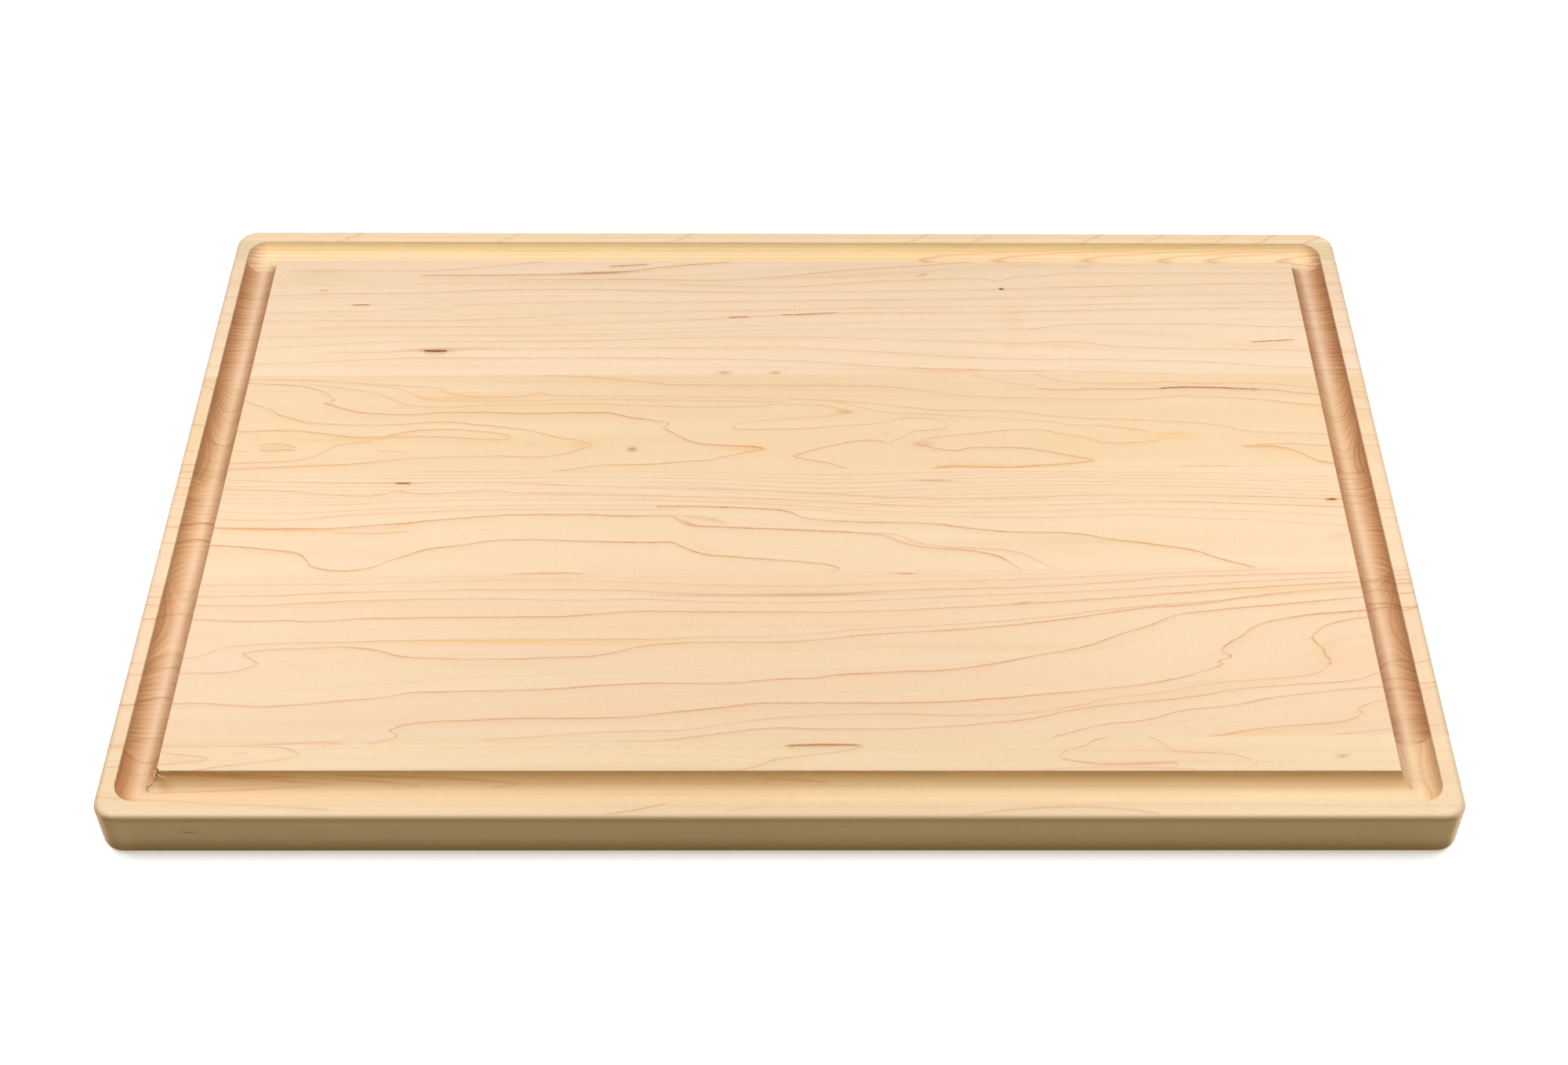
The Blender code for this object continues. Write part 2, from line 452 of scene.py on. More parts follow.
class Value:
    """A number inside a material. Arithmetic on it adds Math nodes."""

    def __init__(self, tree, socket):
        self.tree = tree
        self.socket = socket

    def math(self, operation, *others):
        """A Math node fed by this value and the others, which may be plain numbers."""
        node = self.tree.nodes.new("ShaderNodeMath")
        node.operation = operation
        for index, item in enumerate((self,) + others):
            if isinstance(item, Value):
                self.tree.links.new(item.socket, node.inputs[index])
            else:
                node.inputs[index].default_value = item
        return Value(self.tree, node.outputs[0])

    def __add__(self, other):
        return self.math("ADD", other)

    def __sub__(self, other):
        return self.math("SUBTRACT", other)

    def __mul__(self, other):
        return self.math("MULTIPLY", other)

    def __truediv__(self, other):
        return self.math("DIVIDE", other)

    def smooth(self, low, high):
        """0 below low, 1 above high, with a soft step between. High may be below low."""
        node = self.tree.nodes.new("ShaderNodeMapRange")
        node.interpolation_type = "SMOOTHSTEP"
        self.tree.links.new(self.socket, node.inputs["Value"])
        rising = 1.0 if low < high else 0.0
        set_inputs(node, {"From Min": min(low, high), "From Max": max(low, high),
                          "To Min": 1.0 - rising, "To Max": rising})
        return Value(self.tree, node.outputs[0])


class Wood:
    """Builds the node tree of one material, in millimetres from the board's centre."""

    def __init__(self, name):
        self.material = bpy.data.materials.new(name)
        self.material.use_nodes = True
        self.tree = self.material.node_tree
        self.shader = self.tree.nodes["Principled BSDF"]
        coordinate = self.tree.nodes.new("ShaderNodeTexCoord")
        self.place = self.vector("SCALE", coordinate.outputs["Object"], scale=1 / MM)
        parts = self.tree.nodes.new("ShaderNodeSeparateXYZ")
        self.tree.links.new(self.place, parts.inputs[0])
        self.x, self.y, height = (Value(self.tree, parts.outputs[axis]) for axis in range(3))
        self.depth = height * -1 + TOP / MM
        surface = self.tree.nodes.new("ShaderNodeNewGeometry")
        normal = self.tree.nodes.new("ShaderNodeSeparateXYZ")
        self.tree.links.new(surface.outputs["Normal"], normal.inputs[0])
        self.normal = [Value(self.tree, normal.outputs[axis]) for axis in range(3)]

    def vector(self, operation, first, second=None, third=None, scale=None):
        """A Vector Math node. Sockets are linked and tuples are set."""
        node = self.tree.nodes.new("ShaderNodeVectorMath")
        node.operation = operation
        for index, item in enumerate((first, second, third)):
            if isinstance(item, tuple):
                node.inputs[index].default_value = item
            elif item is not None:
                self.tree.links.new(item, node.inputs[index])
        if scale is not None:
            node.inputs["Scale"].default_value = scale
        return node.outputs["Value" if operation in ("DOT_PRODUCT", "LENGTH") else "Vector"]

    def noise(self, stretch, detail=2.0, shift=(0, 0, 0), roughness=0.5):
        """Noise with features of about the given size in mm along each axis, from -1 to 1."""
        scale = tuple(1 / size for size in stretch)
        where = self.vector("MULTIPLY_ADD", self.place, scale, tuple(map(float, shift)))
        return self.noise_at(where, detail, roughness)

    def noise_at(self, where, detail=2.0, roughness=0.5):
        """Noise at a vector socket, from -1 to 1."""
        node = self.tree.nodes.new("ShaderNodeTexNoise")
        set_inputs(node, {"Scale": 1.0, "Detail": detail, "Roughness": roughness})
        self.tree.links.new(where, node.inputs["Vector"])
        return Value(self.tree, node.outputs["Fac"]) * 2 - 1

    def joined(self, x, y, z):
        """A vector from three values or numbers."""
        node = self.tree.nodes.new("ShaderNodeCombineXYZ")
        for index, item in enumerate((x, y, z)):
            if isinstance(item, Value):
                self.tree.links.new(item.socket, node.inputs[index])
            else:
                node.inputs[index].default_value = item
        return node.outputs[0]

    def hill(self, centre_x, centre_y, reach_x, reach_y, turn=0.0):
        """A smooth hill in plan, 1 at its middle, that reaches a given way in x and y."""
        node = self.tree.nodes.new("ShaderNodeMapping")
        node.vector_type = "TEXTURE"
        set_inputs(node, {"Location": (centre_x, centre_y, 0), "Rotation": (0, 0, math.radians(turn)),
                          "Scale": (reach_x, reach_y, THROUGH)})
        self.tree.links.new(self.place, node.inputs["Vector"])
        squared = self.vector("DOT_PRODUCT", node.outputs[0], node.outputs[0])
        falling = Value(self.tree, squared) * -1
        return falling.math("EXPONENT")

    def box_spot(self, x, y, depth, reach_x, reach_y, reach_depth):
        """A soft spot in space, 1 at its middle."""
        sides = ((self.x - x) / reach_x, (self.y - y) / reach_y, (self.depth - depth) / reach_depth)
        squares = [side * side for side in sides]
        return ((squares[0] + squares[1] + squares[2]) * -1).math("EXPONENT")

    def mix(self, amount, first, second, blend="MIX"):
        """Mix two colours, given as sockets or linear triples."""
        node = self.tree.nodes.new("ShaderNodeMix")
        node.data_type = "RGBA"
        node.blend_type = blend
        if isinstance(amount, Value):
            self.tree.links.new(amount.socket, node.inputs[0])
        else:
            node.inputs[0].default_value = amount
        for index, item in ((6, first), (7, second)):
            if isinstance(item, tuple):
                node.inputs[index].default_value = item + (1.0,)
            else:
                self.tree.links.new(item, node.inputs[index])
        return node.outputs[2]

    def times(self, colour, share):
        """A colour with each channel multiplied by its own share."""
        return self.mix(1.0, colour, share, "MULTIPLY")

    def shade(self, amount, colour, share):
        """A colour that is multiplied by the share only where the amount is 1."""
        return self.mix(amount, colour, self.times(colour, share))

    def set_band(self, across, band):
        """Prepare the two shared coordinates, from 0 to 1, that drawn lines are set in."""
        self.low, high = band
        self.height = high - self.low
        self.along = self.x * (1 / (2 * SPAN)) + 0.5
        self.across = (across - self.low) * (1 / self.height)

    def curve(self, value, points):
        """A Float Curve node through points whose places are all from 0 to 1."""
        node = self.tree.nodes.new("ShaderNodeFloatCurve")
        self.tree.links.new(value.socket, node.inputs["Value"])
        line = node.mapping.curves[0]
        line.points[0].location = points[0]
        line.points[1].location = points[-1]
        for point in points[1:-1]:
            line.points.new(*point)
        for point in line.points:
            point.handle_type = "AUTO_CLAMPED"
        node.mapping.update()
        return Value(self.tree, node.outputs[0])

    def strokes(self, drawings, upright):
        """Thin dark lines through given points. An upright one gives y first."""
        total = None
        if upright:
            source, target, target_scale = self.across, self.along, 2 * SPAN
            fade = RISER_FADE / self.height
        else:
            source, target, target_scale = self.along, self.across, self.height
            fade = STROKE_FADE / (2 * SPAN)
        shape = [(0.5 + place / (2 * STROKE_REACH), level) for place, level in STROKE_SHAPE]
        for strength, width, *numbers in drawings:
            pairs = list(zip(numbers[0::2], numbers[1::2]))
            if upright:
                points = [((y - self.low) / self.height, x / (2 * SPAN) + 0.5) for y, x in pairs]
            else:
                points = [(x / (2 * SPAN) + 0.5, (y - self.low) / self.height) for x, y in pairs]
            points.sort()
            gap = target - self.curve(source, points)
            scaled = gap * (target_scale / (2 * STROKE_REACH * width)) + 0.5
            line = self.curve(scaled, shape) * strength
            start, end = points[0][0], points[-1][0]
            if start > OFF_BOARD:
                line = line * source.smooth(start - fade * FADE_OUTSIDE, start + fade * FADE_INSIDE)
            if end < 1 - OFF_BOARD:
                line = line * source.smooth(end + fade * FADE_OUTSIDE, end - fade * FADE_INSIDE)
            total = line if total is None else total.math("MAXIMUM", line)
        return total

    def spots(self, drawings):
        """Soft oval patches: the strongest one at each place, kept below 1."""
        total = None
        for strength, x, y, reach_x, reach_y, turn in drawings:
            spot = self.hill(x, y, reach_x, reach_y, turn) * strength
            total = spot if total is None else total.math("MAXIMUM", spot)
        return total.math("MINIMUM", 1.0)

    def ring_lines(self, value, rings):
        """Thin dark lines at the given ring places, each with its own strength."""
        total = None
        for start in range(0, len(rings), RINGS_PER_RAMP):
            group = rings[start:start + RINGS_PER_RAMP]
            low = min(place for place, strength in group) - RAMP_MARGIN
            high = max(place for place, strength in group) + RAMP_MARGIN
            ramp = self.tree.nodes.new("ShaderNodeValToRGB")
            scaled = (value - low) / (high - low)
            self.tree.links.new(scaled.socket, ramp.inputs[0])
            elements = ramp.color_ramp.elements
            while len(elements) > 1:
                elements.remove(elements[-1])
            stops = [((place + shift - low) / (high - low), strength * share)
                     for place, strength in sorted(group) for shift, share in LINE_SHAPE]
            elements[0].position = stops[0][0]
            elements[0].color = (stops[0][1],) * 3 + (1.0,)
            for position, level in stops[1:]:
                elements.new(position).color = (level, level, level, 1.0)
            lines = Value(self.tree, ramp.outputs[0])
            total = lines if total is None else total.math("MAXIMUM", lines)
        return total


# ---------------------------------------------------------------- the maple's figure
# In mm from the board's centre, by stave number from the front.
# How far a ring moves towards the front per mm of depth.
LEAN = {1: 0, 2: 1.3, 3: 1.3, 4: 0, 5: .9, 6: 1.1}
# The stretch across the board that a stave's drawn lines are set in.
BANDS = {1: (-156, -112), 2: (-126, -36), 3: (-48, 14), 4: (6, 68), 5: (58, 138), 6: (120, 156)}
# Hills that lift the faint rings towards the back: (x, y, reach x, reach y, lift).
HILLS = {
    1: ((-60, -128, 90, 9, 3),),
    2: ((215, -66, 95, 20, 34), (230, -97, 115, 20, 18), (-250, -98, 130, 22, -14)),
    3: ((-90, -15, 75, 12, 7), (120, -10, 90, 14, 4), (20, -2, 40, 12, -4), (215, 0, 50, 18, -3)),
    4: ((20, 52, 160, 14, -2),),
    5: ((120, 97, 220, 18, 7), (230, 121, 150, 22, 9), (60, 138, 170, 14, 13), (240, 76, 160, 14, -9),
        (-138, 104, 7, 6, -3.5), (-60, 92, 60, 8, -1.5)),
    6: (),
}
# The faint, nearly parallel rings: (place across the stave, strength).
RINGS = {
    1: ((-124, .18), (-128.5, .2), (-133.5, .25), (-137.5, .25), (-142, .2), (-147, .2)),
    2: ((-44, .2), (-51, .15), (-58.5, .16), (-68, .15), (-79, .12), (-88, .15), (-99, .13),
        (-106.5, .15), (-117, .15)),
    3: ((9.5, .35), (7.7, .3), (6, .4), (3.6, .35), (1.2, .4), (-1, .3), (-3.2, .35), (-5.6, .3),
        (-8, .3)),
    4: ((54, .16), (57, .14), (60.5, .15), (63, .12)),
    5: ((120, .15), (117.3, .3), (108.8, .2), (104, .2), (97.5, .25), (94, .2), (89, .25), (85, .2),
        (81.5, .2), (77.5, .15), (72, .2), (68, .25)),
    6: ((148, .3), (145.2, .3), (142.4, .25), (139.8, .35), (137.4, .3), (135, .3), (131.8, .2)),
}
# Ring lines drawn one by one, front stave first: (strength, width, x1, y1, x2, y2, ...).
LINES_1 = (
    (.75, 1, -214, -122.4, -190, -122, -183, -122, -175, -122.2, -170, -122.6, -166, -123.8, -162.5,
     -125.4),
    (.55, 1, -200, -133, -185, -130, -175, -128.6, -168, -127.5, -164, -126.4, -162.5, -125.6),
    (.6, 1, -214, -123.5, -205, -125.4, -198, -126.2, -193, -127.2),
    (.5, 1, -214, -130, -200, -129, -196, -128.3, -193, -127.5),
    (.6, .9, -186, -125.6, -183, -124.9, -180, -125.3),
    (1.25, 1.3, 1, -121.8, 8, -121.5, 18, -121.3, 27, -121.6),
    (.6, 1, -16, -132.4, -8, -130.4, -4, -128.2, 0, -127.3, 10, -125.6, 20, -124.2, 28, -121.9),
    (.65, 1, 93.5, -126, 96, -124, 99, -122.8, 104, -121.4, 106, -119.3, 111, -118.3),
    (.65, 1.3, 93.5, -126.2, 97, -127.6, 102, -128.8, 110, -129.5, 120, -129.3, 134, -128.8),
    (.6, 1, 124, -117.8, 127, -118.7, 130, -121, 132, -123.5, 140, -124.6, 150, -125, 155, -126, 159,
     -128),
    (.35, 1, 88, -132, 100, -131, 115, -130.9, 140, -131.8),
    (.6, 1.1, -212, -132.8, -190, -133.6, -170, -134.9, -160, -135.6, -151, -136.3),
    (.5, 1.2, -212, -140.5, -180, -138.8, -160, -137.3, -151, -136.5),
    (.6, 1.1, -206, -132.6, -170, -133.8, -140, -135, -128, -136, -121, -136.7),
    (.5, 1.1, -131, -138, -125, -137.5, -121, -136.9),
    (.55, 1.2, -150, -133.3, -110, -134.4, -97, -135.2, -88, -136),
    (.45, 1.1, -98, -137.8, -92, -137.1, -88, -136.2),
    (.4, 1.5, -6, -134.3, 4, -134.6, 15, -135.6),
    (.6, 1.2, -58, -150.6, -50, -149, -45, -148, -38, -146),
    (.35, 1.2, -18, -149, -5, -147),
    (.5, 1.2, 62, -151, 72, -149.2, 85, -147.9, 100, -147.5, 112, -148.2, 126, -150.4),
    (.4, 1.2, -214, -144.4, -190, -146, -150, -148.5),
)
LINES_2 = (
    (.4, 1, -214, -48.6, -180, -48, -140, -47.4, -115, -46, -80, -45.5, -60, -46.5, -40, -47.5, 0, -48.5,
     40, -47, 80, -45.4, 140, -42, 180, -39.8),
    (.6, 1, -214, -54, -185, -53.5, -160, -52, -130, -51, -110, -50.5, -60, -50.6, -40, -51.8, 0, -53,
     20, -52.4, 40, -50.6, 80, -49.3, 120, -46.4, 140, -44, 165, -43, 214, -41),
    (.55, 1, -214, -58, -190, -58.3, -170, -57, -150, -55.8, -120, -55, -105, -54.7, -80, -55.5, -50,
     -55, -30, -56, 0, -56.5, 30, -55.5, 60, -53.5, 100, -51.5, 140, -48.5, 170, -46, 214, -43.4),
    (.8, 1.1, -214, -64.8, -205, -65, -190, -65.8, -175, -65.3, -171, -65.9, -150, -64.5, -120, -63.8,
     -80, -63.3, -60, -61.5, -50, -60.8, -20, -61, 0, -61.1, 30, -60.8, 60, -59, 86, -57, 110, -55, 140,
     -52, 165, -49.5, 214, -45.8),
    (.5, 1, -214, -83.6, -205, -82.3, -201, -80.5, -197, -78.2, -190, -77, -175, -76, -150, -75.3, -138,
     -74.8, -100, -74.4, -60, -74, -45, -73.8, -30, -73, 0, -72.4, 10, -71.4, 30, -69, 60, -67, 80, -65,
     100, -62.4, 115, -60, 130, -58, 150, -56, 180, -52.4, 214, -49),
    (.7, 1, -214, -90, -195, -89.5, -188, -88, -183, -85.6),
    (.85, 1.1, -188.5, -80.6, -185, -79.5, -170, -78.5, -155, -77.8, -147, -78.5, -140, -80, -134, -82,
     -120, -83, -100, -83.3, -80, -82.5, -68, -82, -60, -80.3, -50, -77.4, -40, -76, -20, -75.3, 0,
     -75.2, 10, -74.5, 30, -71.8, 60, -69.5, 90, -66, 105, -63.5, 115, -61.5, 130, -58.9, 150, -56.9,
     165, -54, 175, -52.3, 190, -50.5, 214, -48),
    (.85, 1.1, -214, -103.6, -200, -103.2, -190, -104.2, -180, -104.8, -168, -104, -150, -102, -137,
     -100.5, -128, -98.5, -115, -98, -95, -97.5, -80, -96.8, -60, -95, -45, -94.2, -25, -94.3, 0, -92.3,
     10, -91.8, 20, -90.3, 40, -89, 55, -88.3, 65, -87, 80, -83.8, 83, -83, 100, -79, 105, -77.8, 115,
     -73.5, 122, -70.5, 130, -67.5, 142, -62, 155, -60, 180, -57, 214, -53),
    (.6, 1, -214, -121.8, -190, -122, -170, -121, -155, -120.4, -145, -121.5, -137, -120, -131, -118.4),
    (.85, 1.1, -133.5, -115.5, -130, -112.9, -122, -111.5, -105, -110.7, -95, -110, -75, -109.8, -55,
     -109.5, -40, -107.5, -20, -105, -5, -103, 0, -103, 20, -103, 50, -102.8, 70, -101.3, 100, -98, 120,
     -95.5, 135, -92.5, 147, -88.5, 154.5, -85.4),
    (.95, 1.3, 154.5, -78.6, 157, -76, 163, -72, 167, -68.5, 173, -65.5, 180, -63.8, 190, -62, 214, -59.5),
    (.5, 1, -104, -119.4, -85, -118, -70, -116.5, -50, -115.5, -35, -115, -20, -112.5, -5, -110, 0,
     -109.5, 20, -108, 40, -107.8, 60, -108.5, 80, -107.8, 100, -104.5, 115, -100.5, 130, -98.5, 150,
     -94, 170, -92, 183, -90.5, 188, -88.6, 192, -85),
    (.8, 1.1, 187.5, -72.4, 190, -69.8, 195, -66.5, 214, -62),
    (.75, 1, -60, -120.4, -40, -119.4, -15, -115.5, 0, -114, 10, -114.5, 30, -114.5, 60, -113, 70, -112,
     85, -110, 100, -106, 115, -103.5, 140, -100.5, 160, -96.5, 180, -94.5, 200, -92.5, 205, -90.5, 214,
     -87.5),
    (.75, 1, 92, -118, 100, -115.5, 110, -112.5, 125, -110.5, 137, -106.5, 155, -104, 170, -100.5, 190,
     -97.5, 214, -95),
    (.75, 1.1, 138, -119, 150, -117, 165, -114, 180, -112.5, 190, -111.5, 197, -109.6, 199.5, -107.5),
    (.6, 1, 198, -105.5, 203, -103, 214, -99.5),
    (.45, 1.2, 180, -118, 195, -116, 214, -113.6),
)
LINES_3 = (
    (.6, 1, -214, 5.4, -190, 4.2, -160, 3.5, -120, 4, -100, 3.5, -60, 1.5, 0, -.7, 30, -3, 60, -4.3, 90,
     -3.8, 115, -2.2, 160, -2.6, 214, -4.4),
    (.6, 1, -214, .4, -203, 0, -185, -1, -165, -3, -155, -3.3, -149, -2.4, -146, -.6, -142, -1.2, -135,
     -2, -110, -.5, -100, -1.5, -60, -2.6, -20, -4, 0, -5, 30, -7, 60, -8.5, 100, -7.5, 140, -5.8, 180,
     -7, 214, -8.6),
    (.4, 1, -214, -6.8, -190, -8.3, -170, -8, -150, -7, -125, -5.5, -60, -5, -30, -6, 0, -7.6, 30, -10.5,
     60, -11.5, 100, -10.5, 130, -9.5, 170, -10.5, 214, -13.2),
    (.4, 1, -214, -11, -190, -12.5, -175, -12, -150, -10, -130, -9, -80, -8, -40, -8, -10, -9.4, 15,
     -10.4, 22, -12, 50, -13, 95, -14, 115, -13, 130, -12.3, 150, -14, 180, -15.5, 195, -17, 214, -18),
    (.45, 1, -214, -15, -195, -15.9, -185, -16, -170, -14.5, -160, -13, -140, -12, -120, -10.8, -90, -10,
     -40, -10.2),
    (1, 1.15, -48, -8.6, -20, -9, 0, -10.8, 8, -14.5, 20, -16, 50, -17, 56, -17.3, 65, -19, 75, -20.5,
     85, -21.6, 103, -21.8, 120, -25, 135, -27.5, 148, -30, 160, -35, 172, -39.2),
    (1, 1.2, -214, -19.7, -190, -20.4, -170, -20.2, -160, -19.6, -150, -18.4, -140, -17.4, -130, -16,
     -110, -13.8, -100, -13, -75, -12.8, -60, -13.5, -43, -13.4, -40, -14.6, -37, -17, -33, -18.4, -25,
     -19, 0, -20.3, 20, -21.5, 35, -23, 43, -26.5, 50, -29, 65, -30.5, 75, -32.5, 80, -34.6, 83, -37.5,
     86.5, -40.6),
    (.45, 1.1, -43, -13.2, -36, -13.4, -30, -14.2, -24, -16, -21, -17.8),
    (.6, 1, 34, -22, 40, -22.6, 45, -24.6, 50, -27.3, 60, -29, 75, -30, 85, -31.5, 90, -34, 94, -36.6,
     98, -39.6, 101, -40.8),
    (.6, 1, -166, -22.2, -150, -22.5, -143, -22, -138, -21.4),
    (1, 1.1, -214, -28.3, -200, -29.3, -190, -30.5, -180, -32, -176, -33.4, -174, -35.5, -172, -38.5,
     -168, -40.4, -160, -41.4, -152, -40.4, -148, -39, -145, -37, -138, -34, -130, -30.6, -115, -28,
     -105, -26, -95, -25.7, -70, -26.5, -50, -27, -43, -26.8, -38, -28.6, -34, -30.8, -28, -33, -15,
     -34.5, 0, -36, 10, -37, 17, -38.3, 20.5, -39.8),
    (.6, 1, -100, -43.4, -90, -42.4, -80, -42.2, -70, -43.2),
    (1.9, 1, 39, -42.2, 48, -42.3),
    (2, 1.2, -146, 3.5, -140, 3.4),
    (2, 1.2, 202.5, -4.3, 207, -4.4),
)
LINES_4 = (
    (.8, 1, -214, 58.6, -200, 57.8, -188, 56.5, -182, 54.5, -178, 52, -175.3, 49.6),
    (.95, 1.1, -178.5, 47.2, -176, 46.3, -172, 44.3, -168, 43, -160, 41.3, -150, 40.8, -142, 40.7, -135,
     41.8, -120, 42, -100, 41.5, -80, 42, -70, 42, -65, 41, -60, 39.5, -53, 38, -46, 36.8),
    (1, 1.2, -46.5, 33.2, -43, 31, -40, 28.5, -35, 25.8, -30, 24.5, -20, 23.8, -13, 23.5, -7.5, 22.3),
    (.8, 1.1, -96, 9, -90, 9.5, -80, 11, -70, 13, -60, 13.5, -50, 13.8, -40, 15, -35, 15.5, -28, 15.9,
     -25, 17.2, -20, 18.6, -14, 20.5, -7.5, 22),
    (.4, 1, -143, 9.3, -120, 9.8, -98, 9.6),
    (.8, 1, -214, 50.5, -205, 46, -198, 43, -195.5, 40.6, -190, 38.5, -182, 36, -170, 35, -160, 34.8,
     -150, 35, -140, 36, -130, 36.5, -120, 35.3, -110, 34, -100, 32.5, -92, 30, -85, 27.8, -80, 27, -76,
     25.5, -73.5, 24),
    (.75, 1, -214, 10.2, -200, 11.3, -185, 12.3, -170, 13, -160, 14, -150, 15.5, -140, 16.8, -125, 17.5,
     -110, 18, -95, 17.5, -85, 19, -80, 21, -76, 22.5, -73.5, 23.6),
    (.85, 1.2, -214, 32.5, -205, 31, -200, 31.5, -190, 31.8, -180, 30.5, -170, 28.8, -160, 28, -155,
     28.3, -145, 31, -138, 32.2, -130, 32.5, -120, 31.8, -112, 30.8, -107, 29.6, -104.8, 28.3),
    (.7, 1, -214, 13.6, -195, 14.5, -185, 15.5, -179, 17.5, -174, 21, -170, 24, -160, 25.5, -155, 27.5,
     -145, 28.6, -130, 28.3, -120, 27.5, -110, 27, -104.8, 27.8),
    (.7, 1.2, -200, 23.4, -195, 24.5, -190, 24, -185.5, 22),
    (.7, 1.2, -200, 21.4, -195, 20.5, -190, 21.2, -185.5, 20.6),
    (.4, 1.2, -214, 20.6, -203, 20.4),
    (.6, 1, -155, 21, -148, 20.6, -143, 19.4),
    (.55, 1, -214, 60.4, -190, 60, -170, 58.8, -150, 57, -142, 56.5, -137, 56, -133, 54, -128, 52, -120,
     51, -105, 51, -99, 51.8, -95, 53.2, -91, 51.6, -60, 51.3, -30, 51, 0, 50.2, 20, 48.8, 35, 47.3, 50,
     45, 60, 43.8, 80, 43.5, 90, 43, 100, 41, 110, 40, 120, 39, 140, 38.3, 160, 36.7, 170, 35, 178, 32.3,
     190, 31.5, 214, 30.6),
    (.5, 1, -190, 60.6, -175, 59, -160, 57, -150, 55, -145, 52.5, -140, 50, -130, 48.3, -120, 48.3, -105,
     48.5, -80, 49.5, -40, 49, 0, 48.2),
    (.5, 1, -190, 58.6, -170, 55, -160, 53, -152, 49, -145, 46, -135, 45, -120, 45.8, -105, 46.5, -80,
     47, -50, 45.8, -30, 45.3, -10, 46, 0, 46.9, 15, 46, 22, 44.2, 26, 42.8),
    (.55, 1, -20.5, 34.8, -18, 36, -10, 37.5, 0, 38.6, 10, 39.5, 20, 41, 26, 42.6),
    (.6, 1, -21, 34.3, -17, 32.8, -10, 32.8, 10, 33.5, 20, 34.8, 27, 35.3, 35, 36.3, 40, 37.3, 44, 38.8,
     50, 39.5, 57, 39, 61, 37.5, 63.5, 35.5),
    (.65, 1, 39.5, 25.2, 42, 27, 46, 29, 51, 32.2, 56, 32.6, 61, 33.6, 63.8, 35.3),
    (.7, 1, 3, 18.4, 7, 20, 12, 22, 20, 24.5, 28, 26.5, 33, 27, 37, 26.4, 39.5, 25.3),
    (.8, 1.1, 3, 18.2, 8, 16.5, 13, 15.5, 17, 14.5, 20, 13, 23.5, 11.8),
    (.6, 1, 49.5, 25, 54, 27.5, 60, 29, 68, 30, 78, 31.5, 88, 32.8, 95, 33, 105, 31, 112, 29.5, 117, 28,
     122, 26, 128, 25.5, 135, 26, 144, 27.4),
    (.75, 1.1, 49.5, 24.6, 55, 23.5, 60, 22, 66, 21.5, 70, 22.8, 80, 23, 90, 22.8, 100, 21, 108, 19, 114,
     17.5, 118, 16.3),
    (.9, 1.4, 56, 11.8, 65, 12.8, 75, 12.5, 85, 12.3, 95, 13.3, 105, 14, 112, 15, 118, 16),
    (.6, 1, -104, 63.4, -80, 62.5, -65, 60.8, -55, 59.5, -45, 58, -30, 57.8, 0, 57.7, 20, 57.5, 40, 57,
     55, 54.5, 70, 51.8, 80, 51, 100, 50.5, 120, 50, 135, 50, 145, 51, 155, 52, 170, 51.3, 185, 50, 200,
     47.8, 214, 46.2),
    (.45, 1, 16, 49.2, 25, 47, 33, 44, 38, 42.5, 55, 41.5, 70, 40, 85, 39, 105, 37, 110, 35.4, 120, 35.3,
     130, 34, 140, 32),
    (.8, 1, 98, 56.2, 105, 55.6, 112, 55.3, 120, 56, 135, 55.8, 150, 56.3, 160, 57, 170, 56.8, 180, 56,
     190, 55.5, 200, 54, 214, 52.6),
    (1.5, 1.1, 146, 56.2, 160, 57, 170, 56.8, 180, 56, 186, 55.8),
    (.5, 1, 97, 64.8, 103, 62.5, 108, 60.5, 120, 59.3, 135, 59, 150, 60, 165, 59, 180, 59.5, 214, 56),
    (.5, 1, 74, 63.8, 82, 61, 90, 59, 97, 57.6),
    (.8, 1.6, 175, 24, 185, 24, 190, 23.2, 196, 21, 200, 18, 205, 15.5, 214, 14),
    (.6, 1.2, 180, 25, 195, 25.5, 205, 24.5, 214, 24.6),
    (.6, 1.2, 150, 13, 165, 13.2, 175, 12.8, 195, 13, 214, 12.4),
)
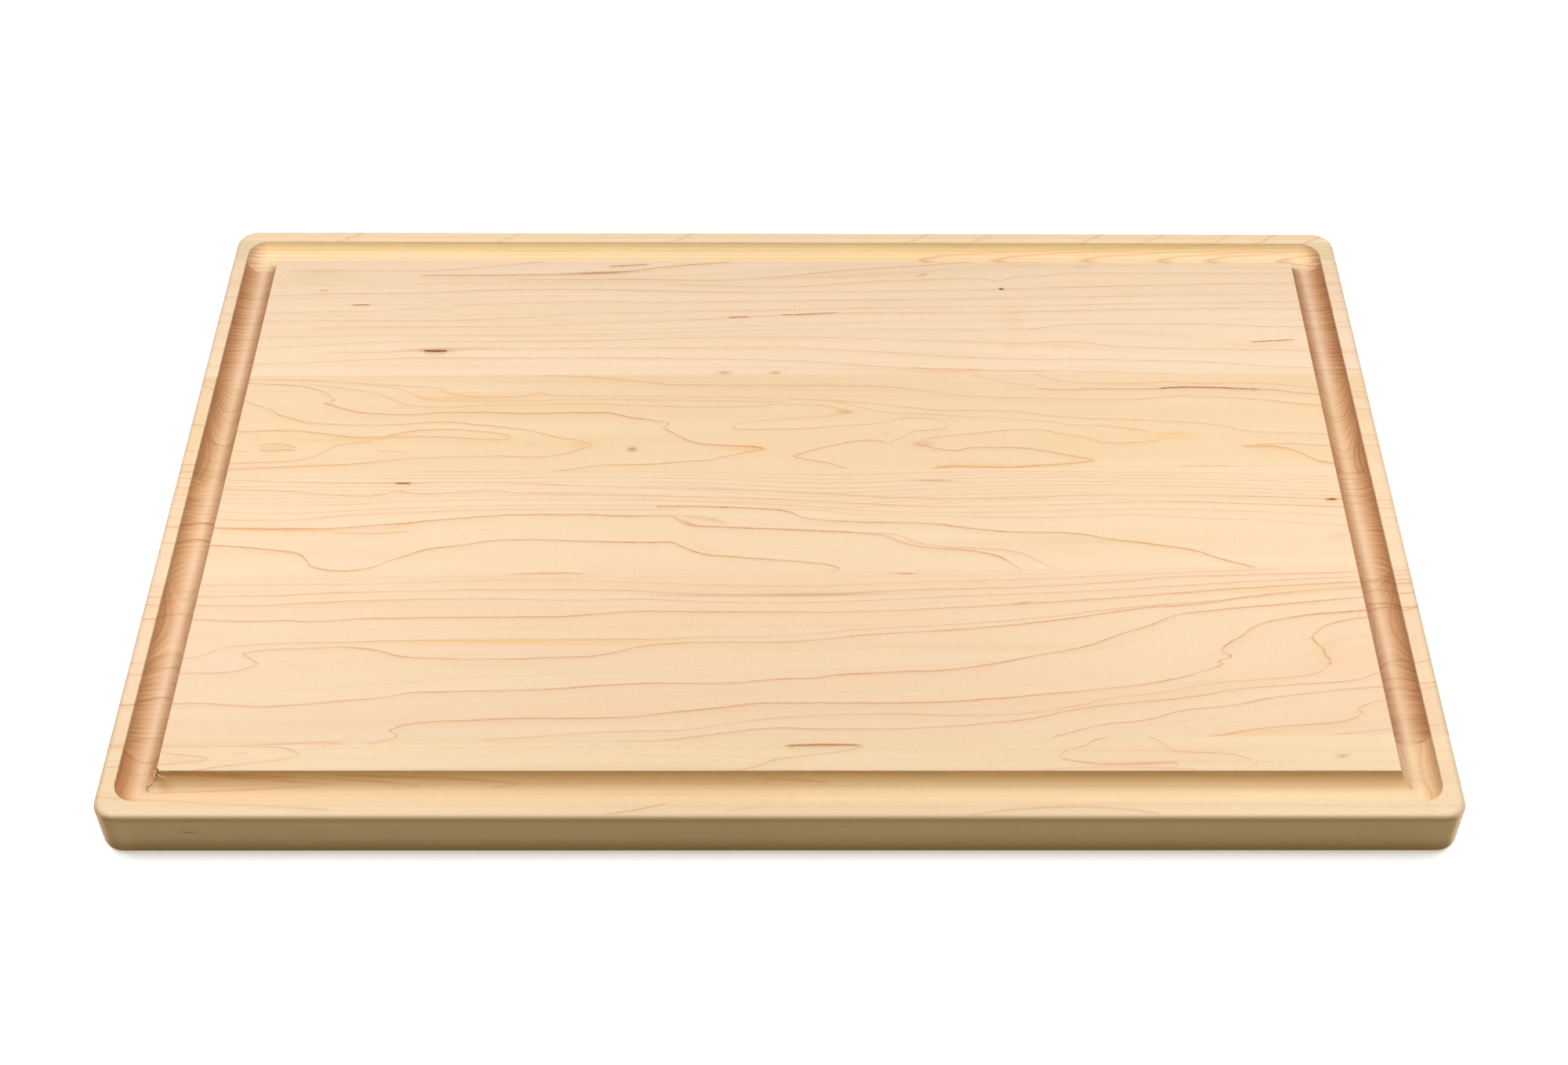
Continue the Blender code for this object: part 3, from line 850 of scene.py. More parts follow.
LINES_5 = (
    (.65, 1, -204, 126.4, -180, 126.3, -150, 126.3, -140, 127, -130, 128, -120, 129.5, -110, 130.8, -100,
     132.3, -93, 133.2),
    (.85, 1.1, -150, 123.5, -125, 123.5, -105, 124, -90, 124.3, -80, 125, -70, 125.7, -60, 127.2, -50,
     129, -40, 130.5, -30, 131.5, -18, 133),
    (.7, 1, -112, 121, -80, 121, -60, 121.3, -50, 121, -30, 120.8, -20, 121.3, 0, 123.3, 10, 125, 25,
     127.3, 45, 129.3, 60, 130.8, 78, 132.8),
    (.55, 1, -214, 110.4, -200, 111, -180, 112, -160, 112.2, -140, 112.8, -130, 113.7, -110, 114.7, -80,
     114.8, -50, 114, -20, 113.3, 40, 114.3, 80, 115.3, 100, 116, 130, 117.5, 160, 118.3, 190, 119.6,
     214, 119.6),
    (.45, 1, -50, 118.4, -20, 117, 0, 116.8, 20, 118.5, 40, 120.5, 60, 121.5, 78, 122.3, 83, 121.5, 87,
     120.8, 90, 121.5, 95, 123.5, 105, 124, 120, 125.8, 140, 125.8, 214, 126),
    (.5, 1, -214, 99.8, -200, 100.3, -180, 101, -165, 101.3, -155, 102.5, -148, 103, -141, 102.4, -138,
     101.2, -134.5, 104, -130, 105, -120, 105.7, -100, 106.5, -80, 107.3, -50, 107, 0, 108, 60, 109, 110,
     110.5, 160, 112, 214, 113.4),
    (.45, 1, -214, 94.6, -200, 95, -170, 95.3, -140, 95.5, -120, 96.5, -100, 98, -85, 99.8, -60, 100.5,
     -40, 101.3, -10, 102, 40, 104, 90, 105, 150, 107, 214, 108),
    (.55, 1, -190, 91, -150, 91.5, -130, 92, -105, 92, -90, 93.3, -70, 94.5, -50, 95.5, -20, 97.5, 0,
     99.3, 10, 99.8, 20, 100.7, 60, 100.6, 110, 102, 150, 103.6, 214, 104),
    (.35, 1, -214, 85, -160, 86.5, -100, 87, -50, 88.5, 0, 90.5, 40, 91, 70, 90.7, 100, 91),
    (.6, 1, 96, 90.8, 104, 92, 110, 93.5, 120, 94.2, 140, 94.5, 180, 94, 195, 93, 214, 93),
    (.5, 1, -214, 79, -200, 79.5, -180, 81, -160, 82.5, -120, 83, -70, 84, -40, 85.5, 0, 86, 40, 85, 60,
     83.8, 80, 83.3, 92, 82.5, 100, 83, 110, 83.5, 118, 83.3, 125, 82, 130, 80.8, 145, 80, 180, 79.3,
     195, 79, 214, 78.2),
    (.55, 1, -182, 76.5, -165, 76.5, -150, 77.5, -135, 78.5, -120, 78.8, -90, 79, -60, 79.3, 0, 79.8, 20,
     78.5, 40, 77, 60, 75, 80, 73.8, 100, 73, 120, 73, 150, 72.3, 170, 71.3, 190, 69.5, 214, 68.2),
    (.55, 1, -210, 69.8, -190, 70.5, -165, 72, -145, 73.3, -120, 73.3, -60, 73.3, -30, 73, 0, 72, 20,
     70.5, 45, 68, 60, 67.3, 80, 66.5, 120, 66, 160, 64.5, 172, 64),
    (1.5, 1, -73, 129.4, -65, 130, -57, 130.8),
    (1.5, .9, -176, 105, -168, 105.2),
    (1.3, .8, -190, 114, -186, 114),
    (1.6, 1, -23, 97.8, -15, 98.2),
    (1.5, 1, -2, 99.4, 10, 99.9, 21, 101),
    (1.4, .9, 54, 124, 58, 125),
    (1.35, .9, 186, 83.6, 204, 85),
    (.6, .9, 118, 130, 126, 129.8),
    (.8, 1.2, 48, 68, 60, 67.4, 78, 66.8),
    (4, 1.1, -143.3, 77.4, -139, 77.3, -134.5, 77.3),
)
LINES_6 = (
    (.45, 1.2, 60, 133.4, 66, 132.9, 78, 133),
    (.45, 1.2, 92, 133.2, 98, 132.8, 108, 132.9),
)
LINES = {1: LINES_1, 2: LINES_2, 3: LINES_3, 4: LINES_4, 5: LINES_5, 6: LINES_6}
# The same with y first, for the short parts where a line turns across the grain.
RISERS = {
    1: (
        (.5, 1, -128, 159, -129.3, 160.4, -130.6, 158.5, -131.8, 155.5),
    ),
    2: (
        (.9, 1.1, -85.6, -183.2, -84.3, -184.5, -82.5, -187, -80.8, -188.8, -79.8, -187),
        (.8, 1, -118.4, -131.2, -117, -131, -115.5, -133.4, -114.2, -133),
        (1, 1.4, -85.4, 154.5, -84, 153.2, -82.3, 157.2, -81.3, 157.6, -80.3, 155.6, -78.6, 155),
        (.9, 1.4, -86, 191.5, -83.5, 192.3, -81, 191, -78.5, 190.8, -75.5, 188.6, -72.4, 187.4),
        (.8, 1, -107.8, 199.6, -106.6, 199.8, -105.4, 198),
    ),
    3: (
        (.8, 1, -39.8, 20.4, -40.8, 19.4, -41.8, 17),
        (.9, 1.2, -33, -176, -35.5, -174.2, -38.6, -171.8),
    ),
    4: (
        (1, 1.2, 50, -175.4, 49, -175.2, 47.6, -176.4, 47.3, -178.6, 46.4, -177.5, 45.4, -174),
        (1, 1.2, 37.2, -46.6, 36.4, -44.8, 35, -45, 33.6, -46.6, 33, -45.8),
    ),
}
# Tinted patches: (colour, strength, x, y, reach x, reach y, turn in degrees).
SPOTS = {
    1: (("brown", .5, 190, -126, 2.2, .9, 8), ("pink", .6, 122, -129.6, 14, 1.3, 2),
        ("pink", .35, -200, -127, 10, 3, 0), ("pink", .3, 130, -126, 22, 4, -4),
        ("orange", .7, -155, -121.2, 5, .8, 0), ("brown", .5, 12, -121.5, 9, .6, 1)),
    2: (("orange", .8, -98, -75.4, 34, 1.7, 0), ("orange", .6, -70, -75, 30, 1.6, 1),
        ("lilac", .5, -92, -79.4, 34, 2.6, -1), ("lilac", .4, -195, -84, 14, 5, 0),
        ("brown", .45, 8, -52.7, 26, .9, 1), ("red", .9, 86, -56.6, 3, .6, 10),
        ("brown", .3, -30, -53.2, 16, .6, -1), ("orange", .7, 165, -115.4, 16, .9, 3),
        ("olive", .4, 78, -77.6, 32, 1.8, 0), ("olive", .3, -100, -86, 25, 1.2, 0),
        ("lilac", .35, -137, -116, 8, 3, 0), ("orange", .4, 192, -80, 3, 6, 0),
        ("pink", .3, 202, -88, 16, 8, 0), ("brown", .9, 44, -42.4, 4, .3, 0),
        ("orange", .5, 182, -49.8, 30, .9, 4)),
    3: (("orange", .9, -186, -20.7, 27, 1.2, -1), ("lilac", .6, -151, -20.4, 9, 1.3, 6),
        ("orange", .6, -143, -19.5, 7, 1.6, 20), ("lilac", .55, -158, -36.6, 15, 3.4, 3),
        ("red", .7, -35.5, -17, 4, 1, -24), ("olive", .55, -29, -15, 8, 1.3, -12),
        ("red", .6, -85, -42.6, 11, .6, 1), ("red", .35, 206, -22.6, 5, 2, 18),
        ("brown", .5, 56, 5.2, 8, .7, -2), ("orange", .35, -30, -29.5, 10, 2, -24),
        ("brown", 1, -143, 3.3, 3.5, .45, -2), ("brown", 1.3, 205, -4.4, 2, .6, 0),
        ("olive", .3, 104, -25.6, 16, 2.4, 0), ("orange", .4, 75, 12.5, 20, 1, 1),
        ("lilac", .3, 89, -35, 5, 4, 0)),
    4: (("orange", .9, -126, 49.8, 19, 1.3, -1), ("orange", .5, -95, 52, 5, 1.2, 0),
        ("orange", .9, -78, 24.2, 5, 1.6, 8), ("orange", .8, -13, 22.3, 8, 1.4, 4),
        ("orange", .9, -165, 27, 20, 1, 3), ("red", .35, -194, 22.3, 6, 1.6, 0),
        ("brown", .8, -58, 21.8, 1.8, 1.2, 0), ("olive", .4, -97, 24.6, 3.5, 1, 0),
        ("red", .9, 23, 42.7, 3.6, 1.1, 0), ("red", .75, 53, 24.8, 4.5, 1.5, 4),
        ("orange", .95, 149, 30.2, 8, 2.2, 4), ("orange", .6, 132, 33.6, 9, 1, -9),
        ("orange", .7, 186, 23.2, 12, 1.3, -5), ("orange", .8, 75, 13.6, 16, .9, 0),
        ("lilac", .5, 60, 25.6, 7, 2.6, 0), ("lilac", .4, 14, 19.5, 12, 3.4, 12),
        ("olive", .35, 104, 48, 26, 1.4, 0), ("orange", .45, 112, 17, 7, 1.8, 12),
        ("orange", .35, 5, 19, 5, 2.2, 10), ("olive", .5, 39, 30.5, 1.6, 1.6, 0),
        ("orange", .5, 205, 46.4, 9, 1.2, -6), ("brown", .5, 168, 56.8, 18, .5, -2)),
    5: (("black", 1.7, -139, 77.35, 3.3, .42, 0), ("brown", .5, -139, 77.8, 8, 1.2, 0),
        ("black", 1.3, 88, 115.6, .9, .55, 0), ("brown", .55, -24, 64.9, 2.4, .9, 0),
        ("brown", .55, -4, 64.9, 2, .9, 0), ("orange", .45, 89, 80.6, 2.2, 1.8, 0),
        ("orange", .35, 108.5, 81.2, 2, 1.8, 0), ("orange", .8, 64, 65.6, 15, 1, 0),
        ("brown", .8, -76, 125.3, 12, .8, 3), ("lilac", .5, -65, 131, 14, 1.2, 5),
        ("olive", .35, -192, 124, 14, 3.5, 0), ("lilac", .35, 35, 130, 30, 2.6, 6),
        ("orange", .35, -125, 79.6, 14, 1, 0), ("orange", .3, 92, 98, 4, 8, 0),
        ("red", .8, 10, 99.9, 9, .6, 4), ("brown", .7, -19, 98, 4, .5, 2)),
    6: (("orange", .5, 62, 134.5, 4, 2, 0), ("orange", .5, 92, 134.5, 4, 2, 0)),
}

# The back stave's rings turn up across the grain towards the right-hand end, and slant
# across its rim.
HOOKS = (57, 88, 125, 157, 177, 207, 222)
HOOK_Y = 134.4
HOOK_BEND = 0.75
HOOK_SLANT = 1.1
HOOK_STRENGTH = 0.75
HOOK_STRETCH = 0.15
RIM_LINES = (-186, -120, -48, 50, 76, 123, 149, 177, 196, 216)
RIM_Y = 145
RIM_SLANT = 1.6
RIM_STRENGTH = 0.5
RIM_STRETCH = 0.4

# Staves whose rings close in with depth on a line down their middle, and how fast.
FLAT_SAWN = {1: -128.0, 4: 22.0}
FLAT_SAWN_SPREAD = 0.06

# Sizes in mm of what roughens the wood: along the board, across it and in depth.
RIPPLE_SIZE = (9, 3.5, 6)
SWAY_SIZE = (80, 25, 30)
PATCH_SIZE = (38, 5, 8)
BREAK_SIZE = (2.6, 1.2, 1.2)
CLOUD_SIZE = (90, 30, 30)
FIBRE_SIZE = (26, 0.45, 0.6)
GRIT_SIZE = (0.8, 0.35, 0.35)
PORE_SIZE = (1.2, 0.5, 0.5)
PITH_SWAY_SIZE = (30, 9, 9)
HOOK_SWAY_SIZE = (12, 2, 2)
RIM_SWAY_SIZE = (8, 3, 3)
RIDGE_SIZE = (14, 0.3, 0.3)
GLUE_SIZE = (9, 3, 3)
# How far the same things move a ring, in mm.
RIPPLE = 0.3
SWAY = 0.8
PITH_SWAY = 6
HOOK_SWAY = 0.5
RIM_SWAY = 2.5

# How the soft bands change with the way along the board and across the rings, per mm.
BAND_ALONG = 0.005
BAND_ACROSS = 0.13
ARC_ALONG = 0.01
ARC_ACROSS = 0.9
# How much of a tint shows where its noise or patch is strongest.
CLOUD_STRENGTH = 0.35
FIBRE_STRENGTH = 0.17
GRIT_STRENGTH = 0.18
TORN_STRENGTH = 0.75
BRUISE_STRENGTH = 0.5
END_LINE_STRENGTH = 0.5
# The surface.
WOOD_ROUGHNESS = 0.52
GLUE_ROUGHNESS = 0.42
ROUGHNESS_SWING = 0.07
GLUE_SWING = 0.08
WOOD_SPECULAR = 0.35
RIDGE_STRENGTH = 0.2
RIDGE_HEIGHT = 0.05 * MM
# Keeps the noises of neighbouring staves apart.
SEED_STEP = 7.3

# Colours are linear. A share multiplies each channel of the colour that it goes with.
TONES = {
    1: (0.745, 0.600, 0.418),
    2: (0.735, 0.579, 0.420),
    3: (0.742, 0.594, 0.432),
    4: (0.735, 0.579, 0.407),
    5: (0.765, 0.618, 0.472),
    6: (0.722, 0.600, 0.422),
}
LINE_TINT = (0.56, 0.30, 0.155)
LINE_STRENGTH = 0.75
MARK_TINT = (0.24, 0.11, 0.05)
TORN_TINT = (0.76, 0.60, 0.43)
PALE_SHARE = (1.01, 1.02, 1.03)
WARM_SHARE = (0.975, 0.93, 0.87)
CLOUD_SHARE = (1.0, 0.965, 0.955)
SPOT_TINTS = {
    "orange": (0.73, 0.50, 0.285),
    "pink": (0.74, 0.49, 0.34),
    "lilac": (0.73, 0.55, 0.44),
    "red": (0.66, 0.41, 0.27),
    "olive": (0.64, 0.49, 0.28),
    "brown": (0.44, 0.26, 0.13),
    "black": (0.05, 0.03, 0.02),
}
END_TINT = (0.588, 0.358, 0.204)
END_DARK_SHARE = (0.88, 0.82, 0.78)
END_PALE_SHARE = (1.12, 1.16, 1.2)
END_LINE_TINT = (0.33, 0.16, 0.08)
INNER_END_SHARE = (0.85, 0.86, 0.90)
OUTER_END_SHARE = (0.93, 1.10, 1.18)
# How pale each stave's end grain is, at the left and right ends, against END_TINT.
END_SHARES = {
    1: ((1.0, 0.93, 0.88), (1.2, 1.38, 1.5)),
    2: ((1.05, 1.08, 1.1), (1.0, 1.0, 1.0)),
    3: ((1.1, 1.15, 1.17), (1.03, 1.03, 1.02)),
    4: ((0.97, 0.98, 0.97), (1.02, 1.04, 1.02)),
    5: ((1.0, 1.0, 1.0), (0.98, 0.95, 0.95)),
    6: ((1.25, 1.5, 1.8), (1.22, 1.45, 1.7)),
}
# Painted shade on the faces of the long edges, together with their own browner tone.
EDGE_TONE_AND_SHADE_SHARE = (0.565, 0.545, 0.38)
# Darker still towards the bottom of the long edges.
LOW_EDGE_SHARE = (0.74, 0.66, 0.52)
# Painted light on the walls of the front and back grooves, with a slightly yellower tint.
GROOVE_WALL_LIGHT_SHARE = (1.12, 1.11, 0.99)
BACK_RIM_SHARE = (1.12, 1.10, 1.13)
GROOVE_MIDDLE = 216
# Where each stave's rings are centred, as (y, depth), and how clearly they show in end grain.
PITHS = {1: (-128, -60, 0.12), 2: (-62, -30, 0.7), 3: (-60, 45, 0.8), 4: (20, -35, 1.1),
         5: (10, 80, 0.9), 6: (80, 60, 0.6)}
GROWTH_SPACING = 1.6
GROWTH_TINT = (0.30, 0.18, 0.12)
GLUE_DARK = (0.64, 0.47, 0.29)
GLUE_PALE = (0.71, 0.54, 0.35)

# Where an effect starts and where it is full, in mm: from the middle of the board along it
# or across it, or below the top.
LEFT_TO_RIGHT = (-10, 10)
OUTER_ENDS = (224, 227)
INNER_ENDS = (GROOVE_MIDDLE + 0.5, GROOVE_MIDDLE - 3)
LONG_EDGES = (149.6, 151.9)
BACK_RIM = (144.5, 146)
RIGHT_PART = (30, 60)
UNDER_TOP = (0.15, 1.2)
UNDER_LIP = (0.4, 1.0)
LOW_ON_EDGE = (9.0, 18.5)
# The chip: torn wood, a bruise beside it, and a dark dash on the front edge below.
TORN_PLACE = (-211.6, -134.3, 2.3, 2.3)
BRUISE_PLACE = (-207.5, -135.3, 2.2, 1.3, -10)
EDGE_DASH_PLACE = (-196.5, -152.4, 7.6, 2.2, 1.0, 0.3)


def shared(colour, shares):
    """A colour with each channel multiplied by its own share."""
    return tuple(part * share for part, share in zip(colour, shares))


def maple(number):
    """The solid maple of one stave."""
    wood = Wood("maple_" + str(number))
    seed = number * SEED_STEP
    across = wood.y + wood.noise(RIPPLE_SIZE, 2.0, (1, seed, 5)) * RIPPLE - wood.depth * LEAN[number]
    if number in FLAT_SAWN:
        centre = FLAT_SAWN[number]
        across = (across - centre) * (wood.depth * FLAT_SAWN_SPREAD + 1) + centre
    flow = across + wood.noise(SWAY_SIZE, 1.0, (seed, 3, 1)) * SWAY
    for centre_x, centre_y, reach_x, reach_y, lift in HILLS[number]:
        flow = flow - wood.hill(centre_x, centre_y, reach_x, reach_y) * lift
    lines = maple_lines(wood, number, across, flow, seed)
    colour = wood_ground(wood, TONES[number], flow, seed)
    if number == STAVES:
        lines = lines.math("MAXIMUM", hooked_rings(wood))
        colour = wood.shade(wood.y.smooth(*BACK_RIM), colour, BACK_RIM_SHARE)
    for name in SPOT_TINTS:
        spots = [spot[1:] for spot in SPOTS[number] if spot[0] == name]
        if spots:
            colour = wood.mix(wood.spots(spots), colour, SPOT_TINTS[name])
    colour = wood.mix((lines * LINE_STRENGTH).math("MINIMUM", 1.0), colour, LINE_TINT)
    colour = wood.mix((lines - 1).math("MAXIMUM", 0.0).math("MINIMUM", 1.0), colour, MARK_TINT)
    end = wood.normal[0].math("ABSOLUTE").smooth(-0.25, 0.8) * wood.depth.smooth(*UNDER_TOP)
    colour = wood.mix(end, colour, end_grain(wood, number, lines, seed))
    colour = edges_and_hollow(wood, colour)
    if number == 1:
        colour = wood.mix(wood.box_spot(*EDGE_DASH_PLACE), colour, MARK_TINT)
        colour = wood.mix(wood.hill(*TORN_PLACE) * TORN_STRENGTH, colour, TORN_TINT)
        colour = wood.mix(wood.hill(*BRUISE_PLACE) * BRUISE_STRENGTH, colour, SPOT_TINTS["red"])
    wood.tree.links.new(colour, wood.shader.inputs["Base Color"])
    finish_surface(wood, lines, seed)
    return wood.material


def maple_lines(wood, number, across, flow, seed):
    """The drawn ring lines and the faint rings, stronger in some patches than in others."""
    wood.set_band(across, BANDS[number])
    drawn = wood.strokes(LINES[number], False)
    if number in RISERS:
        drawn = drawn.math("MAXIMUM", wood.strokes(RISERS[number], True))
    faint = wood.ring_lines(flow, RINGS[number])
    patchy = wood.noise(PATCH_SIZE, 2.0, (seed, 9, 2)).smooth(-0.6, 0.4)
    broken = wood.noise(BREAK_SIZE, 2.0, (seed, 6, 3)) * 0.5 + 0.95
    return (drawn * (patchy * 0.55 + 0.5)).math("MAXIMUM", faint * (patchy * 0.9 + 0.2)) * broken


def wood_ground(wood, tone, flow, seed):
    """The pale wood between the rings: soft bands along the grain, fibres and flecks."""
    band = wood.noise_at(wood.joined(wood.x * BAND_ALONG, flow * BAND_ACROSS, seed), 3.0)
    cloud = wood.noise(CLOUD_SIZE, 2.0, (seed, 4, 4))
    fibre = wood.noise(FIBRE_SIZE, 2.0, (seed, 0, 0), 0.6)
    grit = wood.noise(GRIT_SIZE, 1.0, (0, seed, 0))
    colour = wood.mix(band * 0.8 + fibre * 0.25 + 0.5, shared(tone, WARM_SHARE),
                      shared(tone, PALE_SHARE))
    colour = wood.mix(cloud.smooth(-0.5, 0.6) * CLOUD_STRENGTH, colour, shared(tone, CLOUD_SHARE))
    colour = wood.mix(fibre.smooth(0.1, 0.7) * FIBRE_STRENGTH, colour, LINE_TINT)
    return wood.mix(grit.smooth(0.0, 0.5) * GRIT_STRENGTH, colour, LINE_TINT)


def end_grain(wood, number, lines, seed):
    """End grain, darker and redder than the top, with growth rings round the stave's pith."""
    pores = wood.noise(PORE_SIZE, 2.0, (seed, 2, 6))
    pith_y, pith_depth, clearness = PITHS[number]
    from_pith = wood.joined(wood.noise(PITH_SWAY_SIZE, 1.0, (seed, 8, 8)) * PITH_SWAY,
                            wood.y - pith_y, wood.depth - pith_depth)
    radius = Value(wood.tree, wood.vector("LENGTH", from_pith))
    arcs = wood.noise_at(wood.joined(wood.x * ARC_ALONG, radius * ARC_ACROSS, seed), 2.0, 0.6)
    colour = wood.mix(arcs * 0.9 + pores * 0.5 + 0.5, shared(END_TINT, END_DARK_SHARE),
                      shared(END_TINT, END_PALE_SHARE))
    left_share, right_share = END_SHARES[number]
    share = wood.mix(wood.x.smooth(*LEFT_TO_RIGHT), left_share, right_share)
    colour = wood.times(colour, share)
    from_middle = wood.x.math("ABSOLUTE")
    colour = wood.shade(from_middle.smooth(*OUTER_ENDS), colour, OUTER_END_SHARE)
    colour = wood.shade(from_middle.smooth(*INNER_ENDS), colour, INNER_END_SHARE)
    colour = wood.mix(lines * END_LINE_STRENGTH, colour, END_LINE_TINT)
    growth = (radius * (math.tau / GROWTH_SPACING) + arcs * 2).math("SINE").smooth(0.3, 1.0)
    return wood.mix(growth * (pores * 0.2 + 0.32) * clearness, colour, GROWTH_TINT)


def edges_and_hollow(wood, colour):
    """The long edges are darker and browner: partly their own browner wood and partly painted shade, and
    darker still towards the bottom. The walls of the front and back grooves get painted light and a
    slightly yellower tint.
    """
    side = wood.normal[1].math("ABSOLUTE")
    far_out = wood.y.math("ABSOLUTE").smooth(*LONG_EDGES)
    # Painted shade, with the wood's own browner tone, on the faces of the long edges.
    edge = wood.mix(side.smooth(0.2, 0.95) * far_out, (1.0, 1.0, 1.0), EDGE_TONE_AND_SHADE_SHARE)
    colour = wood.times(colour, edge)
    # Darker towards the bottom of the long edges.
    colour = wood.shade(wood.depth.smooth(*LOW_ON_EDGE) * far_out, colour, LOW_EDGE_SHARE)
    # Painted light: the walls of the front and back grooves are brightened, and tinted a little yellower.
    groove_wall_light = side.smooth(0.15, 0.95) * wood.depth.smooth(*UNDER_TOP) * (far_out * -1 + 1)
    return wood.shade(groove_wall_light, colour, GROOVE_WALL_LIGHT_SHARE)


def hooked_rings(wood):
    """Rings of the back stave: hooks in the groove and short lines across the rim."""
    height = wood.y - wood.depth * HOOK_SLANT
    bend = (height - HOOK_Y) + wood.noise(HOOK_SWAY_SIZE, 1.0, (2, 2, 2)) * HOOK_SWAY
    hook = wood.x - bend * bend * (1 / HOOK_BEND)
    inside = wood.depth.smooth(*UNDER_LIP)
    hook_places = [(place * HOOK_STRETCH, HOOK_STRENGTH) for place in HOOKS]
    hooks = wood.ring_lines(hook * HOOK_STRETCH, hook_places) * wood.x.smooth(*RIGHT_PART)
    rim = wood.x - (wood.y - RIM_Y) * RIM_SLANT
    rim = rim + wood.noise(RIM_SWAY_SIZE, 1.0, (4, 1, 2)) * RIM_SWAY
    rim_places = [(place * RIM_STRETCH, RIM_STRENGTH) for place in RIM_LINES]
    crossing = wood.ring_lines(rim * RIM_STRETCH, rim_places)
    return (hooks * inside).math("MAXIMUM", crossing * (inside * -1 + 1))


def finish_surface(wood, lines, seed):
    """Satin, with the fine ridges that sanding leaves along the grain."""
    ridges = wood.noise(RIDGE_SIZE, 2.0, (seed, 1, 7), 0.6)
    rough = ridges * ROUGHNESS_SWING + WOOD_ROUGHNESS
    wood.tree.links.new(rough.socket, wood.shader.inputs["Roughness"])
    set_inputs(wood.shader, {"Specular IOR Level": WOOD_SPECULAR})
    bump = wood.tree.nodes.new("ShaderNodeBump")
    set_inputs(bump, {"Strength": RIDGE_STRENGTH, "Distance": RIDGE_HEIGHT})
    relief = ridges * 0.5 - lines * 0.4
    wood.tree.links.new(relief.socket, bump.inputs["Height"])
    wood.tree.links.new(bump.outputs[0], wood.shader.inputs["Normal"])


def glue():
    """Dried wood glue in a joint, sanded flush and soaked into the fibres beside it."""
    wood = Wood("wood_glue")
    patch = wood.noise(GLUE_SIZE, 2.0)
    colour = wood.mix(patch.smooth(-0.5, 0.5), GLUE_DARK, GLUE_PALE)
    wood.tree.links.new(colour, wood.shader.inputs["Base Color"])
    rough = patch * GLUE_SWING + GLUE_ROUGHNESS
    wood.tree.links.new(rough.socket, wood.shader.inputs["Roughness"])
    return wood.material


# ---------------------------------------------------------------- stage, light, camera
# The floor glows by itself, and more so from NEAR_FLOOR to FAR_FLOOR metres from the board.
FLOOR_REACH = 6.0
FLOOR_GAP = 0.02 * MM
FLOOR_COLOUR = (0.93, 0.93, 0.93, 1)
NEAR_FLOOR = 0.5
FAR_FLOOR = 1.1
NEAR_GLOW = 0.3
FAR_GLOW = 0.95
# The surround lights the board weakly and is seen bright.
SURROUND_LIGHT = 0.08
SURROUND_SEEN = 0.95
WHITE = (1, 1, 1, 1)
MIDDLE = Vector((0, 0, 0))
LIGHT_OUT = 0.32
LIGHT_HEIGHT = 0.45
LIGHT_SIZE = 0.36
LIGHT_POWER = 1.69
FILL_PLACE = (0, -0.9, 0.45)
FILL_SIZE = 0.5
FILL_POWER = 0.5


def make_stage():
    """A plain pale floor that glows more away from the board, so that low views stay pale."""
    bm = bmesh.new()
    bmesh.ops.create_grid(bm, x_segments=8, y_segments=8, size=FLOOR_REACH)
    floor = new_object("floor", to_mesh("floor", bm))
    floor.location.z = LOW.z - FLOOR_GAP
    material = bpy.data.materials.new("floor_paper")
    material.use_nodes = True
    tree = material.node_tree
    shader = tree.nodes["Principled BSDF"]
    set_inputs(shader, {"Base Color": FLOOR_COLOUR, "Roughness": 0.9, "Specular IOR Level": 0.1,
                        "Emission Color": WHITE})
    place = tree.nodes.new("ShaderNodeTexCoord")
    away = tree.nodes.new("ShaderNodeVectorMath")
    away.operation = "LENGTH"
    tree.links.new(place.outputs["Object"], away.inputs[0])
    glow = tree.nodes.new("ShaderNodeMapRange")
    set_inputs(glow, {"From Min": NEAR_FLOOR, "From Max": FAR_FLOOR,
                      "To Min": NEAR_GLOW, "To Max": FAR_GLOW})
    tree.links.new(away.outputs["Value"], glow.inputs["Value"])
    tree.links.new(glow.outputs[0], shader.inputs["Emission Strength"])
    floor.data.materials.append(material)


def make_light(name, place, size, power):
    """A square soft light aimed at the middle of the board."""
    data = bpy.data.lights.new(name, "AREA")
    data.shape = "SQUARE"
    data.size = size
    data.energy = power
    item = bpy.data.objects.new(name, data)
    item.location = place
    item.rotation_euler = (MIDDLE - Vector(place)).to_track_quat("-Z", "Y").to_euler()
    bpy.context.scene.collection.objects.link(item)


